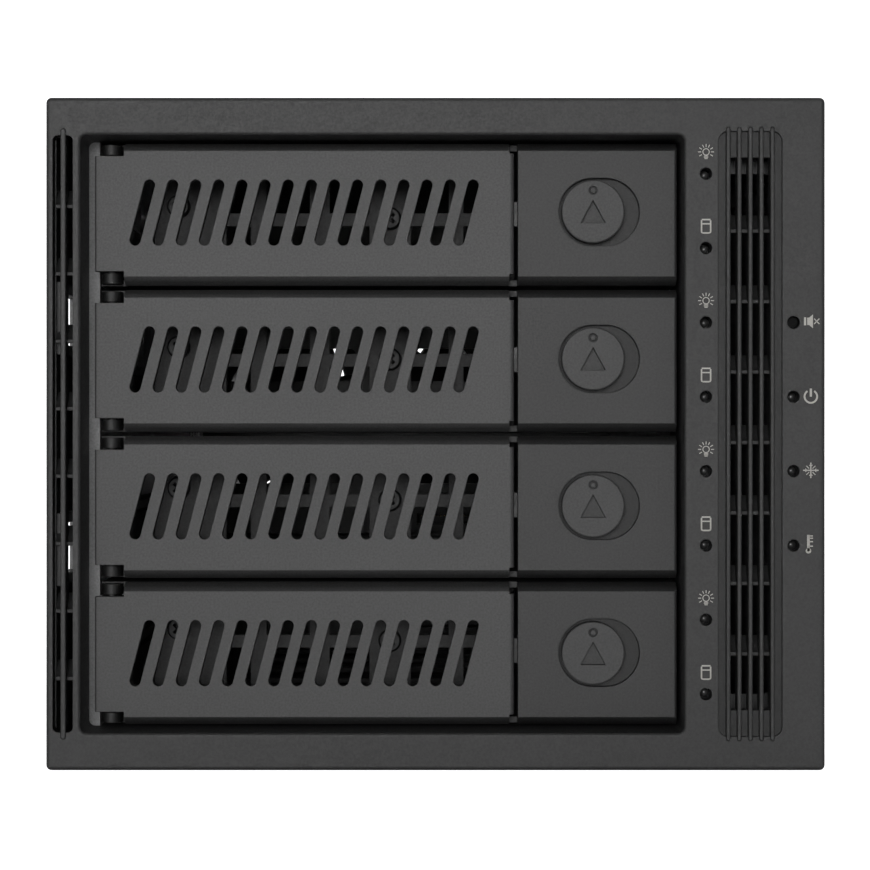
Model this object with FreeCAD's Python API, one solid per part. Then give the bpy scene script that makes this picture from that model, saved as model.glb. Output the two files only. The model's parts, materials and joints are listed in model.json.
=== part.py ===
import FreeCAD, Part
import math
import os

# Hot swap cage for four 3.5 inch drives, filling three 5.25 inch bays.
# Millimetres. X runs to the viewer's right, the front faces -Y, Z is up.
# The origin is under the middle of the whole cage, on the surface it stands on.
# A depth is measured back from the front face of the bezel.

Vector = FreeCAD.Vector

# Overall sizes
bezel_width = 147.0
bezel_height = 127.0
cage_width = 146.0
cover_step = 0.6
sheet = 1.0

# Allowances of the modelling itself: how far a cutter runs past what it cuts, how far the
# pieces of one solid run into each other, and how closely an edge has to lie at a place
overcut = 1.0
bite = 0.5
match = 1e-4

# Bezel
bezel_plate = 3.0
bezel_corner = 1.0
bezel_edge_round = 0.8
bay_edge_round = 0.6
bay_wall = 1.4
bay_wall_end = 24.0
bay_left = -67.0
bay_right = 46.9
bezel_bar = 7.1
bay_gap = 0.32
bay_corner = 1.2
ledge_depth = 10.5
ledge_thickness = 2.0
ledge_width = 2.1
skirt_thickness = 1.3
skirt_end = 20.0
skirt_half_width = 62.0
skirt_gap = 0.1

# Bezel vents
rib_proud = 0.3
rib_round = 0.25
right_vent_left = 53.3
right_vent_right = 65.4
right_vent_margin = 6.4
right_vent_corner = 1.9
right_vent_recess = 0.8
right_rib_first = 55.2
right_rib_pitch = 2.08
right_rib_count = 5
right_rib_width = 0.8
right_rib_margin = 5.6
right_slot_margin = 11.3
left_vent_left = -72.2
left_vent_margin = 7.2
left_vent_corner = 1.0
left_rib_x = -70.2
left_rib_width = 1.0
left_rib_margin = 5.9
louvre_front = 1.3
louvre_rise = 3.0
louvre_run = 3.3
louvre_thickness = 0.7
louvre_drop = 2.0
right_louvre_count = 7
right_louvre_pitch = 13.33
left_louvre_count = 8
left_louvre_pitch = 12.76
left_louvre_left = -71.9

# Snap arms of the bezel and their windows in the side walls
arm_height = 13.8
arm_thickness = 1.0
arm_end = 26.5
arm_offset_z = 22.0
arm_window_height = 9.8
arm_window_start = 8.0
arm_window_end = 22.3
hook_length = 1.6
hook_proud = 0.8
side_window_start = 14.2
side_window_end = 26.2

# Trays
tray_count = 4
tray_gap = 0.84
tray_left = -65.1
tray_right = 46.1
tray_setback = 5.0
tray_side_round = 0.6
bevel_height = 1.6
bevel_depth = 2.2

# Lever
lever_right = 15.0
lever_plate = 2.4
lever_skirt_end = 8.8
lever_rim = 1.4
lever_lip = 0.9
lip_round_margin = 0.05
lever_lip_inset = 2.1
heel_right = -59.5
heel_inset = 2.6
heel_round = 0.5
hinge_x = -62.2
hinge_depth = 8.2
knuckle_radius = 2.2
knuckle_gap_half = 3.0
knuckle_gap_right = -57.6
knuckle_gap_front = 6.2
pin_radius = 1.0
running_clearance = 0.05
press_clearance = 0.02
slot_count = 15
slot_first_x = -55.98
slot_pitch = 4.415
slot_half_rise = 5.25
slot_centre_rise = 0.2
slot_lean = 14.6
slot_radius = 1.06
catch_left = 12.8
catch_right = 14.4
catch_end = 12.6
catch_half_height = 4.0
catch_window_front = 8.4
catch_window_end = 11.2
catch_window_half_height = 3.0

# Tray front
block_left = 15.75
block_wall = 1.5
front_depth = 18.6
grille_thickness = 1.4
front_left = -64.4
flange_thickness = 1.2
flange_start = 9.2
side_wall_start = 11.8
ear_thickness = 2.0
ear_gap = 0.3
ear_radius = 2.0
ear_end = 12.0
spring_stop_right = -61.0
spring_stop_end = 13.4
grille_open_left = -62.8
grille_open_right = -56.0
grille_bar_low = -0.6
grille_bar_high = 2.0
grille_window_inset = 2.8
grille_windows = [(-41.7, -36.9), (-33.7, -25.1), (-21.1, -13.2), (-4.9, 2.6), (5.6, 13.0)]
tray_screw_places = [(-51.2, 3.3), (-9.1, 0.9)]

# Round latch button, its slider and lock
latch_rise = 0.3
latch_travel = 2.4
disc_x = 30.0
disc_radius = 6.0
disc_proud = 1.2
disc_thickness = 2.4
disc_edge_round = 0.3
recess_radius = 6.5
recess_depth = 1.6
recess_run = 2.5
recess_floor = 1.4
neck_radius = 3.0
neck_clearance = 0.15
shaft_radius = 1.95
index_rise = 4.0
index_radius = 0.86
index_core_radius = 0.46
index_depth = 0.6
key_top = 2.2
key_bottom = -2.2
key_half_width = 2.4
key_depth = 1.3
slider_left = 20.5
slider_right = 36.5
slider_gap = 0.2
slider_thickness = 2.0
slider_half_height = 5.6
slider_guide_gap = 0.3
slider_guide_height = 1.2
slider_guide_reach = 1.0
slider_boss_left = 34.8
slider_boss_depth = 3.8
slider_boss_half_height = 2.4
hook_tip = 14.9
hook_front = 8.8
hook_end = 10.6
hook_half_height = 2.4
hook_window_gap = 0.6
lug_half_length = 3.9
lug_half_width = 1.3
lug_thickness = 1.5
lug_gap = 0.25
spigot_radius = 0.9
spigot_length = 2.4
latch_spring_depth = 10.2
latch_spring_radius = 1.5
latch_spring_wire = 0.4
latch_spring_turns = 6
lever_spring_radius = 1.55
lever_spring_wire = 0.4
lever_spring_turns = 5.25
lever_spring_pitch = 0.55
lever_spring_leg = 3.4
lever_spring_tail = 4.6
lever_spring_hole = 0.5

# Drive and sled
drive_width = 101.6
drive_length = 147.0
drive_x = -10.0
drive_gap = 1.0
drive_side_gap = 0.2
drive_side_hole_rise = 6.35
drive_side_hole_steps = [28.5, 70.11, 130.1]
drive_hole_radius = 1.9
drive_base_hole_spacing = 95.25
drive_base_hole_steps = [41.28, 85.73]
sled_wall_height = 11.6
sled_flange = 2.4
sled_end = 172.0
sled_slot_count = 6
sled_slot_width = 14.0
sled_slot_length = 72.0
sled_slot_pitch = 21.0
sled_slot_start = 40.0
sled_tab_width = 7.0
sled_tab_rise = 2.7
screw_thread_radius = 1.45
screw_hole_radius = 1.5
screw_head_radius = 2.3
screw_head_height = 1.5
tray_screw_end = 0.8

# Inner walls and guide rails
inner_wall_end = 180.0
inner_wall_flange = 7.0
inner_wall_start = 24.3
rail_half_height = 2.6
rail_groove_gap = 0.3
rail_start = 27.5
rail_end = 178.0
rail_peg_radius = 1.5
rail_peg_inset = 20.0
wall_slot_length = 18.0
wall_slot_height = 8.0
wall_slot_rise = 8.0
wall_slot_count = 4
wall_slot_pitch = 34.0
wall_slot_start = 50.0

# Board with the drive sockets
socket_depth = 8.0
socket_gap = 0.3
socket_left = -8.0
socket_right = 36.0
socket_height = 6.4
socket_drop = 8.8
socket_slot_height = 2.8
socket_slot_depth = 6.0
socket_blade_height = 1.2
socket_data_width = 11.0
socket_power_width = 21.0
socket_margin = 3.0
socket_blade_margin = 1.0
board_thickness = 1.6
board_half_width = 69.0
board_low = 5.0
board_top_gap = 6.0
board_slot_height = 9.0
board_slot_drop = 9.5
board_slot_corner = 1.5
board_hole_gap = 0.1
board_slots = [(-57.0, -22.0), (-17.0, 18.0), (24.0, 42.0)]
board_hole_x = 66.0
board_hole_inset = 9.5
board_tab_reach = 9.0
board_tab_height = 10.0
board_screw_tail = 2.6
port_left = 31.0
port_width = 16.5
port_height = 8.6
port_depth = 7.6
port_slot_width = 10.4
port_slot_height = 3.0
port_slot_depth = 5.6
port_key_width = 1.2
port_blade_height = 1.2
port_blade_gap = 1.5
port_blade_margin = 1.0
power_left = 53.0
power_width = 9.4
power_height = 22.0
power_depth = 12.0
power_wall = 1.1
power_rise = 26.0
power_pin_count = 4
power_pin_pitch = 5.08
power_pin_radius = 1.05
power_pin_setback = 2.0
capacitor_radius = 3.15
capacitor_height = 7.4
capacitor_round = 0.4
capacitor_places = [(-60.0, 40.0), (-60.0, 52.0), (24.0, 108.0), (24.0, 96.0)]
chip_places = [(24.0, 63.5), (24.0, 79.0)]
chip_size = 9.0
chip_thickness = 1.5
header_x = 24.0
header_z = 26.0
header_width = 10.0
header_height = 6.0
header_depth = 7.0
header_wall = 0.8
header_pin_pitch = 2.54
header_pin_radius = 0.32
header_pin_count = 3
header_pin_setback = 1.0
buzzer_x = -57.0
buzzer_z = 15.0
buzzer_radius = 5.8
buzzer_height = 7.5
buzzer_round = 0.5
buzzer_hole_radius = 1.0
buzzer_hole_depth = 2.0

# Fan
fan_x = -22.0
fan_size = 80.0
fan_depth = 25.0
plug_room = 11.6
fan_corner = 4.0
fan_bore = 38.2
fan_hole_half_spacing = 35.75
fan_hole_radius = 2.15
fan_waist_start = 4.0
fan_drum_inset = 0.2
fan_hub_radius = 17.0
fan_hub_gap = 0.8
fan_hub_round = 1.5
fan_rotor_setback = 1.0
fan_base_thickness = 3.2
fan_strut_width = 4.0
fan_strut_count = 4
blade_count = 7
blade_tip_gap = 1.0
blade_thickness = 1.5
blade_root_pitch = 42.0
blade_tip_pitch = 23.0
blade_root_chord = 16.5
blade_tip_chord = 33.5
blade_first_turn = -28.0
blade_root_sink = 1.5
fan_shaft_radius = 1.5
fan_shaft_end_gap = 0.2
fan_screw_radius = 2.05
fan_screw_length = 10.0
fan_screw_head_radius = 3.6
fan_screw_head_height = 1.6
fan_driver_radius = 1.64
guard_wire = 1.6
guard_arm_wire = 1.4
guard_ring_radii = [12.0, 20.5, 29.0, 37.5]
guard_loop_radius = 3.1

# Rear panel, cover and fasteners
rear_flange = 10.0
rear_flange_margin = 13.5
rear_clearance = 0.1
cable_cut_left = 29.0
cable_cut_right = 66.0
cable_cut_margin = 13.5
cover_lip_height = 8.0
cover_lip_start = 30.0
cover_lip_gap = 1.0
wafer_radius = 2.7
wafer_height = 0.45
case_screw_length = 3.4
cover_screw_depths = [45.0, 195.0]
wall_screw_depths = [60.0, 150.0]
rear_screw_half_spacing = 38.0
side_hole_radius = 1.5
side_hole_first = 47.4
side_hole_step = 79.25
side_hole_low = 10.0
side_hole_high = 21.84
unit_count = 3
vent_slot_length = 16.0
vent_slot_width = 4.0
side_vent_depths = [144.0, 168.0, 192.0]
cover_vent_depths = [54.0, 78.0]
vent_slot_rise = 32.0
cover_vent_rows = [-36.0, 0.0, 36.0]

# Indicator board behind the bezel
led_x = 51.0
status_x = 67.5
led_hole_radius = 1.15
led_radius = 0.9
led_tip_depth = 2.6
led_base_radius = 1.3
led_base_height = 1.0
led_board_depth = 8.0
led_board_thickness = 1.2
led_board_left = 48.9
led_board_right = 70.3
led_board_margin = 8.5
led_window_left = 53.6
led_window_right = 64.6
led_window_margin = 5.0
led_window_corner = 1.5
post_radius = 1.7
post_right_rise = 35.0
post_screw_radius = 0.9
post_screw_length = 4.0
post_screw_head_radius = 1.6
post_screw_head_height = 1.0
post_screw_spare = 0.4
post_hole_gap = 0.1
button_radius = 1.1
button_hole_radius = 1.2
button_front = 1.4
button_round = 0.25
button_rest_gap = 0.2
button_travel = 0.4
button_flange_radius = 1.6
button_flange_depth = 3.6
button_flange_height = 0.8
switch_size = 4.5
switch_height = 2.2
switch_cap_radius = 0.9
switch_cap_height = 0.3

# Values worked out from the sizes above
stack_z = bezel_height / 2
cage_height = bezel_height - cover_step
cage_half = cage_width / 2
wall_inside = cage_half - sheet
cover_inside = cage_height - sheet
unit_height = bezel_height / unit_count
bay_half_height = stack_z - bezel_bar
tray_pitch = 2 * (bay_half_height - bay_gap) / tray_count
tray_height = tray_pitch - tray_gap
led_pitch = tray_pitch / 2
post_left_rise = 3 * led_pitch
right_vent_half_height = stack_z - right_vent_margin
right_rib_half_length = stack_z - right_rib_margin
right_slot_half_height = stack_z - right_slot_margin
left_vent_half_height = stack_z - left_vent_margin
left_rib_half_length = stack_z - left_rib_margin
led_board_half_height = stack_z - led_board_margin
led_window_half_height = led_board_half_height - led_window_margin
rear_flange_half_height = stack_z - rear_flange_margin
cable_cut_half_height = stack_z - cable_cut_margin
board_high = bezel_height - board_top_gap
board_hole_rise = (board_high - board_low) / 2 - board_hole_inset
grille_face = tray_setback + front_depth
grille_back = grille_face + grille_thickness
drive_front = grille_back + sheet + drive_gap
drive_back = drive_front + drive_length
board_face = drive_back + socket_gap + socket_depth
board_back = board_face + board_thickness
fan_front = board_back + plug_room
rear_panel_front = fan_front + fan_depth
rear_panel_back = rear_panel_front + sheet
rear_end = rear_panel_back + guard_wire + fan_screw_head_height
overall_depth = rib_proud + rear_end
face_y = rib_proud - overall_depth / 2
half_tray = tray_height / 2
heel_half_height = half_tray - heel_inset
lever_lip_half_height = half_tray - lever_lip_inset
grille_window_half_height = half_tray - grille_window_inset
sled_floor_drop = half_tray
sled_wall_top = sled_wall_height - sled_floor_drop
lever_back = tray_setback + lever_plate
recess_face = tray_setback + recess_depth
floor_back = recess_face + recess_floor
slider_face = floor_back + slider_gap
slider_back = slider_face + slider_thickness
disc_face = tray_setback - disc_proud
disc_back = disc_face + disc_thickness
sled_inside = drive_width / 2 + drive_side_gap
sled_outside = sled_inside + sheet
left_wall_face = bay_left - bay_wall + sheet
right_wall_face = 2 * drive_x - left_wall_face
flange_low = sled_wall_top - sheet
ledge_right = bay_left + ledge_width


def block(x0, x1, depth0, depth1, z0, z1):
    """Box between two X, two depths and two heights."""
    size = Vector(x1 - x0, depth1 - depth0, z1 - z0)
    return Part.makeBox(size.x, size.y, size.z, Vector(x0, face_y + depth0, z0))


def rod(x, z, radius, depth0, depth1):
    """Round bar along Y."""
    return Part.makeCylinder(radius, depth1 - depth0, Vector(x, face_y + depth0, z), Vector(0, 1, 0))


def upright(x, depth, radius, z0, z1):
    """Round bar along Z."""
    return Part.makeCylinder(radius, z1 - z0, Vector(x, face_y + depth, z0))


def crossbar(depth, z, radius, x0, x1):
    """Round bar along X."""
    return Part.makeCylinder(radius, x1 - x0, Vector(x0, face_y + depth, z), Vector(1, 0, 0))


def capsule(xa, za, xb, zb, radius, depth0, depth1):
    """Bar along Y whose section is a slot between two cap centres."""
    along = Vector(xb - xa, 0, zb - za)
    side = Vector(-along.z, 0, along.x)
    side.normalize()
    end = Vector(along)
    end.normalize()
    a = Vector(xa, face_y + depth0, za)
    b = Vector(xb, face_y + depth0, zb)
    edges = [
        Part.makeLine(a + side * radius, b + side * radius),
        Part.Arc(b + side * radius, b + end * radius, b - side * radius).toShape(),
        Part.makeLine(b - side * radius, a - side * radius),
        Part.Arc(a - side * radius, a - end * radius, a + side * radius).toShape(),
    ]
    face = Part.Face(Part.Wire(edges))
    return face.extrude(Vector(0, depth1 - depth0, 0))


def edges_at(shape, depth):
    """Edges that lie wholly at one depth."""
    y = face_y + depth
    found = []
    for edge in shape.Edges:
        box = edge.BoundBox
        if abs(box.YMin - y) < match and abs(box.YMax - y) < match:
            found.append(edge)
    return found


def depth_edges(shape):
    """Straight edges that run along Y."""
    found = []
    for edge in shape.Edges:
        box = edge.BoundBox
        if box.XLength < match and box.ZLength < match:
            found.append(edge)
    return found


def front_edge_at(shape, x):
    """Upright edges of a tray's front face at one X."""
    found = []
    for edge in edges_at(shape, tray_setback):
        box = edge.BoundBox
        if box.XLength < match and abs(box.XMin - x) < match:
            found.append(edge)
    return found


def rounded_block(x0, x1, depth0, depth1, z0, z1, radius):
    """Box whose four edges along Y are rounded."""
    shape = block(x0, x1, depth0, depth1, z0, z1)
    return shape.makeFillet(radius, depth_edges(shape))


def extruded(points, x0, x1):
    """Prism along X from an outline of (depth, z) points."""
    corners = [Vector(x0, face_y + depth, z) for depth, z in points]
    wire = Part.makePolygon(corners + corners[:1])
    return Part.Face(wire).extrude(Vector(x1 - x0, 0, 0))


def joined(shapes):
    """One solid from several touching or overlapping ones."""
    first = shapes[0]
    return first.fuse(shapes[1:]).removeSplitter()


def cut(shape, tools):
    """The shape with a list of tools cut away."""
    return shape.cut(tools)


def save(name, shapes):
    """Write one node, made of one or more solids."""
    solids = []
    for shape in shapes:
        solids.extend(shape.Solids)
    part = solids[0] if len(solids) == 1 else Part.makeCompound(solids)
    part.exportStep("parts/" + name + ".step")


def tray_z(index):
    """Height of the middle of a tray, counted from the top."""
    return stack_z + ((tray_count - 1) / 2 - index) * tray_pitch


def indicator_z(index):
    """Height of an indicator in the left column, counted from the top."""
    return stack_z + ((2 * tray_count - 1) / 2 - index) * led_pitch


def coil(radius, wire, pitch, turns):
    """Helical spring wire standing on Z at the origin, with a face at each end."""
    helix = Part.makeHelix(pitch, pitch * turns, radius)
    rise = pitch / (2 * math.pi * radius)
    profile = Part.Wire([Part.makeCircle(wire / 2, Vector(radius, 0, 0), Vector(0, 1, rise))])
    return Part.Wire(helix).makePipeShell([profile], True, True)


# Bezel
def snap_arm(side, z):
    """Arm behind the bezel with a hook that drops into the side wall's window."""
    outer = side * (wall_inside - skirt_gap)
    inner = outer - side * arm_thickness
    low = min(outer, inner)
    high = max(outer, inner)
    arm = block(low, high, bezel_plate, arm_end, z - arm_height / 2, z + arm_height / 2)
    half = arm_window_height / 2
    window = block(low, high, arm_window_start, arm_window_end, z - half, z + half)
    tip = outer + side * (skirt_gap + hook_proud)
    hook = block(min(outer, tip), max(outer, tip), arm_window_end, arm_window_end + hook_length,
                 z - half, z + half)
    return joined([cut(arm, [window]), hook])


def louvre(x0, x1, lower_edge):
    """Sloping bar across a vent, its lower edge at the front."""
    back = louvre_front + louvre_run
    outline = [
        (louvre_front, lower_edge),
        (back, lower_edge + louvre_rise),
        (back, lower_edge + louvre_rise + louvre_thickness),
        (louvre_front, lower_edge + louvre_thickness),
    ]
    return extruded(outline, x0, x1)


def louvre_edges(count, pitch):
    """Heights of the lower edges of a vent's louvres."""
    first = stack_z - louvre_drop - (count - 1) / 2 * pitch
    return [first + index * pitch for index in range(count)]


def vent_rib(x, width, half_length):
    """Rib that stands proud of the bezel, with a rounded crest."""
    reach = half_length - width / 2
    rib = capsule(x, stack_z - reach, x, stack_z + reach, width / 2, -rib_proud, bezel_plate)
    return rib.makeFillet(rib_round, edges_at(rib, -rib_proud))


def bezel():
    half = bezel_width / 2
    plate = rounded_block(-half, half, 0, bezel_plate, 0, bezel_height, bezel_corner)
    plate = plate.makeFillet(bezel_edge_round, edges_at(plate, 0))
    bay_low = stack_z - bay_half_height
    bay_high = stack_z + bay_half_height
    bay = rounded_block(bay_left, bay_right, -overcut, bay_wall_end, bay_low, bay_high, bay_corner)
    plate = cut(plate, [bay])
    rim = []
    for edge in edges_at(plate, 0):
        box = edge.BoundBox
        inside_x = box.XMin > bay_left - match and box.XMax < bay_right + match
        inside_z = box.ZMin > bay_low - match and box.ZMax < bay_high + match
        if inside_x and inside_z:
            rim.append(edge)
    plate = plate.makeFillet(bay_edge_round, rim)

    outer = block(bay_left - bay_wall, bay_right + bay_wall, bezel_plate / 2, bay_wall_end,
                  bay_low - bay_wall, bay_high + bay_wall)
    tunnel = rounded_block(bay_left, bay_right, 0, bay_wall_end, bay_low, bay_high, bay_corner)
    walls = cut(outer, [tunnel])
    ledge = block(bay_left - bay_wall / 2, ledge_right, ledge_depth, ledge_depth + ledge_thickness,
                  bay_low - bay_wall / 2, bay_high + bay_wall / 2)
    top_skirt = block(-skirt_half_width, skirt_half_width, bezel_plate / 2, skirt_end,
                      cover_inside - skirt_gap - skirt_thickness, cover_inside - skirt_gap)
    low_skirt = block(-skirt_half_width, skirt_half_width, bezel_plate / 2, skirt_end,
                      sheet + skirt_gap, sheet + skirt_gap + skirt_thickness)

    recess = rounded_block(right_vent_left, right_vent_right, -overcut, right_vent_recess,
                           stack_z - right_vent_half_height, stack_z + right_vent_half_height,
                           right_vent_corner)
    last_rib = right_rib_first + (right_rib_count - 1) * right_rib_pitch
    opening = block(right_rib_first, last_rib, -overcut, bezel_plate + overcut,
                    stack_z - right_slot_half_height, stack_z + right_slot_half_height)
    left_right = bay_left - bay_wall
    left_vent = rounded_block(left_vent_left, left_right, -overcut, bezel_plate + overcut,
                              stack_z - left_vent_half_height, stack_z + left_vent_half_height,
                              left_vent_corner)
    plate = cut(plate, [recess, opening, left_vent])

    pieces = [walls, ledge, top_skirt, low_skirt]
    for index in range(right_rib_count):
        x = right_rib_first + index * right_rib_pitch
        pieces.append(vent_rib(x, right_rib_width, right_rib_half_length))
    pieces.append(vent_rib(left_rib_x, left_rib_width, left_rib_half_length))
    for edge in louvre_edges(right_louvre_count, right_louvre_pitch):
        pieces.append(louvre(right_rib_first, last_rib, edge))
    for edge in louvre_edges(left_louvre_count, left_louvre_pitch):
        pieces.append(louvre(left_louvre_left, left_right + bay_wall / 4, edge))
    for side in (-1, 1):
        for z in (stack_z - arm_offset_z, stack_z + arm_offset_z):
            pieces.append(snap_arm(side, z))
    for x, z in post_places():
        pieces.append(rod(x, z, post_radius, bezel_plate / 2, led_board_depth))
    body = joined([plate] + pieces)

    holes = []
    for index in range(2 * tray_count):
        holes.append(rod(led_x, indicator_z(index), led_hole_radius, -overcut, bezel_plate + overcut))
    for z in status_heights():
        holes.append(rod(status_x, z, led_hole_radius, -overcut, bezel_plate + overcut))
    holes.append(rod(status_x, button_z(), button_hole_radius, -overcut, bezel_plate + overcut))
    for x, z in post_places():
        holes.append(rod(x, z, post_screw_radius, led_board_depth - post_screw_length, led_board_depth))
    body = cut(body, holes)
    save("bezel", [body])


def post_places():
    """Screw posts for the indicator board, clear of the indicators."""
    left = [(led_x, stack_z - post_left_rise), (led_x, stack_z + post_left_rise)]
    right = [(status_x, stack_z - post_right_rise), (status_x, stack_z + post_right_rise)]
    return left + right


def status_heights():
    """Heights of the three indicators in the right column."""
    return [indicator_z(index) for index in (3, 4, 5)]


def button_z():
    """Height of the small push button above them."""
    return indicator_z(2)


# Sheet metal of the cage
def obround_x(x0, x1, depth, z, length, width):
    """Slot cutter through a side wall, its length along Y."""
    half = length / 2 - width / 2
    bar = block(x0, x1, depth - half, depth + half, z - width / 2, z + width / 2)
    caps = [crossbar(place, z, width / 2, x0, x1) for place in (depth - half, depth + half)]
    return joined([bar] + caps)


def side_holes(side):
    """Tapped bay mounting holes and vent slots of one side wall."""
    x0 = min(side * wall_inside, side * cage_half) - overcut
    x1 = max(side * wall_inside, side * cage_half) + overcut
    tools = []
    for unit in range(unit_count):
        base = unit * unit_height
        for step in (0, side_hole_step):
            for rise in (side_hole_low, side_hole_high):
                depth = bezel_plate + side_hole_first + step
                tools.append(crossbar(depth, base + rise, side_hole_radius, x0, x1))
        for depth in side_vent_depths:
            z = base + vent_slot_rise
            if z < cover_inside - cover_lip_height:
                tools.append(obround_x(x0, x1, depth, z, vent_slot_length, vent_slot_width))
    half = arm_window_height / 2
    for z in (stack_z - arm_offset_z, stack_z + arm_offset_z):
        tools.append(block(x0, x1, side_window_start, side_window_end, z - half, z + half))
    for depth in cover_screw_depths:
        tools.append(crossbar(depth, cover_screw_z(), screw_hole_radius, x0, x1))
    for z in rear_screw_heights():
        tools.append(crossbar(rear_screw_depth(), z, screw_hole_radius, x0, x1))
    return tools


def cover_screw_z():
    return cover_inside - cover_lip_height / 2


def rear_screw_depth():
    return rear_panel_front - rear_flange / 2


def rear_screw_heights():
    return [stack_z - rear_screw_half_spacing, stack_z + rear_screw_half_spacing]


def board_tab_heights():
    return [stack_z - board_hole_rise, stack_z, stack_z + board_hole_rise]


def cage_shell():
    floor = block(-cage_half, cage_half, bezel_plate, rear_panel_back, 0, sheet)
    pieces = [floor]
    for side in (-1, 1):
        x0 = min(side * wall_inside, side * cage_half)
        wall = block(x0, x0 + sheet, bezel_plate, rear_panel_back, 0, cover_inside)
        pieces.append(cut(wall, side_holes(side)))
        tip = side * (cage_half - board_tab_reach)
        outer = side * (cage_half - sheet / 2)
        for z in board_tab_heights():
            tab = block(min(tip, outer), max(tip, outer), board_back, board_back + sheet,
                        z - board_tab_height / 2, z + board_tab_height / 2)
            hole = rod(side * board_hole_x, z, screw_hole_radius,
                       board_back - overcut, board_back + sheet + overcut)
            pieces.append(cut(tab, [hole]))
    save("cage_shell", [joined(pieces)])


def obround_z(x, depth, z0, z1, length, width):
    """Slot cutter through the cover, its length along Y."""
    half = length / 2 - width / 2
    bar = block(x - width / 2, x + width / 2, depth - half, depth + half, z0, z1)
    caps = [upright(x, place, width / 2, z0, z1) for place in (depth - half, depth + half)]
    return joined([bar] + caps)


def cage_cover():
    plate = block(-cage_half, cage_half, bezel_plate, rear_panel_back, cover_inside, cage_height)
    pieces = [plate]
    for side in (-1, 1):
        outer = side * wall_inside
        inner = outer - side * sheet
        lip = block(min(outer, inner), max(outer, inner),
                    cover_lip_start, rear_panel_front - rear_flange - cover_lip_gap,
                    cover_inside - cover_lip_height, cover_inside + sheet / 2)
        holes = []
        for depth in cover_screw_depths:
            x0 = min(outer, inner) - overcut
            holes.append(crossbar(depth, cover_screw_z(), screw_hole_radius, x0, x0 + sheet + 2 * overcut))
        pieces.append(cut(lip, holes))
    body = joined(pieces)
    tools = []
    for x in cover_vent_rows:
        for depth in cover_vent_depths:
            tools.append(obround_z(x, depth, cover_inside - overcut, cage_height + overcut,
                                   vent_slot_length, vent_slot_width))
    for x in wall_screw_rows():
        for depth in wall_screw_depths:
            tools.append(upright(x, depth, screw_hole_radius, cover_inside - overcut, cage_height + overcut))
    save("cage_cover", [cut(body, tools)])


def wall_screw_rows():
    """X of the screws that hold the cover to the inner walls' flanges."""
    return [left_wall_face + inner_wall_flange / 2, right_wall_face - inner_wall_flange / 2]


def inner_wall(name, face, side):
    """Sheet wall of the drive bay; side is -1 on the left and 1 on the right."""
    back = face + side * sheet
    tip = back - side * inner_wall_flange
    wall = block(min(face, back), max(face, back), inner_wall_start, inner_wall_end, sheet, cover_inside)
    low = block(min(back, tip), max(back, tip), inner_wall_start, inner_wall_end, sheet, 2 * sheet)
    high = block(min(back, tip), max(back, tip), inner_wall_start, inner_wall_end,
                 cover_inside - sheet, cover_inside)
    body = joined([wall, low, high])
    x0 = min(face, back) - overcut
    x1 = max(face, back) + overcut
    tools = []
    for index in range(tray_count):
        z = tray_z(index) + wall_slot_rise
        for slot in range(wall_slot_count):
            depth = wall_slot_start + slot * wall_slot_pitch
            tools.append(obround_x(x0, x1, depth, z, wall_slot_length, wall_slot_height))
        for depth in peg_depths():
            radius = rail_peg_radius + running_clearance
            tools.append(crossbar(depth, rail_z(index), radius, x0, x1))
    screw_x = face - side * inner_wall_flange / 2
    for depth in wall_screw_depths:
        tools.append(upright(screw_x, depth, screw_hole_radius,
                             cover_inside - sheet - overcut, cover_inside + overcut))
    save(name, [cut(body, tools)])


def rail_z(index):
    """Height of the middle of a rail's groove."""
    return tray_z(index) + sled_wall_top - sheet / 2


def peg_depths():
    return [rail_start + rail_peg_inset, rail_end - rail_peg_inset]


def guide_rails():
    rails = []
    groove_half = sheet / 2 + rail_groove_gap
    for index in range(tray_count):
        z = rail_z(index)
        for side, face in ((-1, left_wall_face), (1, right_wall_face)):
            near = drive_x + side * (sled_outside + rail_groove_gap)
            floor = drive_x + side * (sled_outside + sled_flange + rail_groove_gap)
            body = block(min(face, near), max(face, near), rail_start, rail_end,
                         z - rail_half_height, z + rail_half_height)
            groove = block(min(near, floor), max(near, floor), rail_start, rail_end,
                           z - groove_half, z + groove_half)
            pieces = [cut(body, [groove])]
            end = face + side * sheet
            for depth in peg_depths():
                pieces.append(crossbar(depth, z, rail_peg_radius, min(face, end), max(face, end)))
            rails.append(joined(pieces))
    save("guide_rails", rails)


def rear_panel():
    half = wall_inside - rear_clearance
    low = sheet + rear_clearance
    high = cover_inside - rear_clearance
    pieces = [block(-half, half, rear_panel_front, rear_panel_back, low, high)]
    for side in (-1, 1):
        inner = side * (half - sheet)
        outer = side * half
        flange = block(min(inner, outer), max(inner, outer), rear_panel_front - rear_flange,
                       rear_panel_front + sheet / 2,
                       stack_z - rear_flange_half_height, stack_z + rear_flange_half_height)
        pieces.append(flange)
    body = joined(pieces)
    tools = [rod(fan_x, stack_z, fan_bore, rear_panel_front - overcut, rear_panel_back + overcut)]
    for x, z in fan_corners():
        tools.append(rod(x, z, fan_hole_radius, rear_panel_front - overcut, rear_panel_back + overcut))
    tools.append(block(cable_cut_left, cable_cut_right, rear_panel_front - overcut, rear_panel_back + overcut,
                       stack_z - cable_cut_half_height, stack_z + cable_cut_half_height))
    for side in (-1, 1):
        x0 = min(side * half, side * (half - sheet)) - overcut
        for z in rear_screw_heights():
            tools.append(crossbar(rear_screw_depth(), z, screw_hole_radius, x0, x0 + sheet + 2 * overcut))
    save("rear_panel", [cut(body, tools)])


def wafer_screw(axis, point):
    """Flat-headed screw; axis points from the head along the shank."""
    head = Part.makeCylinder(wafer_radius, wafer_height, point - axis * wafer_height, axis)
    shank = Part.makeCylinder(screw_thread_radius, case_screw_length, point, axis)
    return head.fuse(shank)


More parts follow.
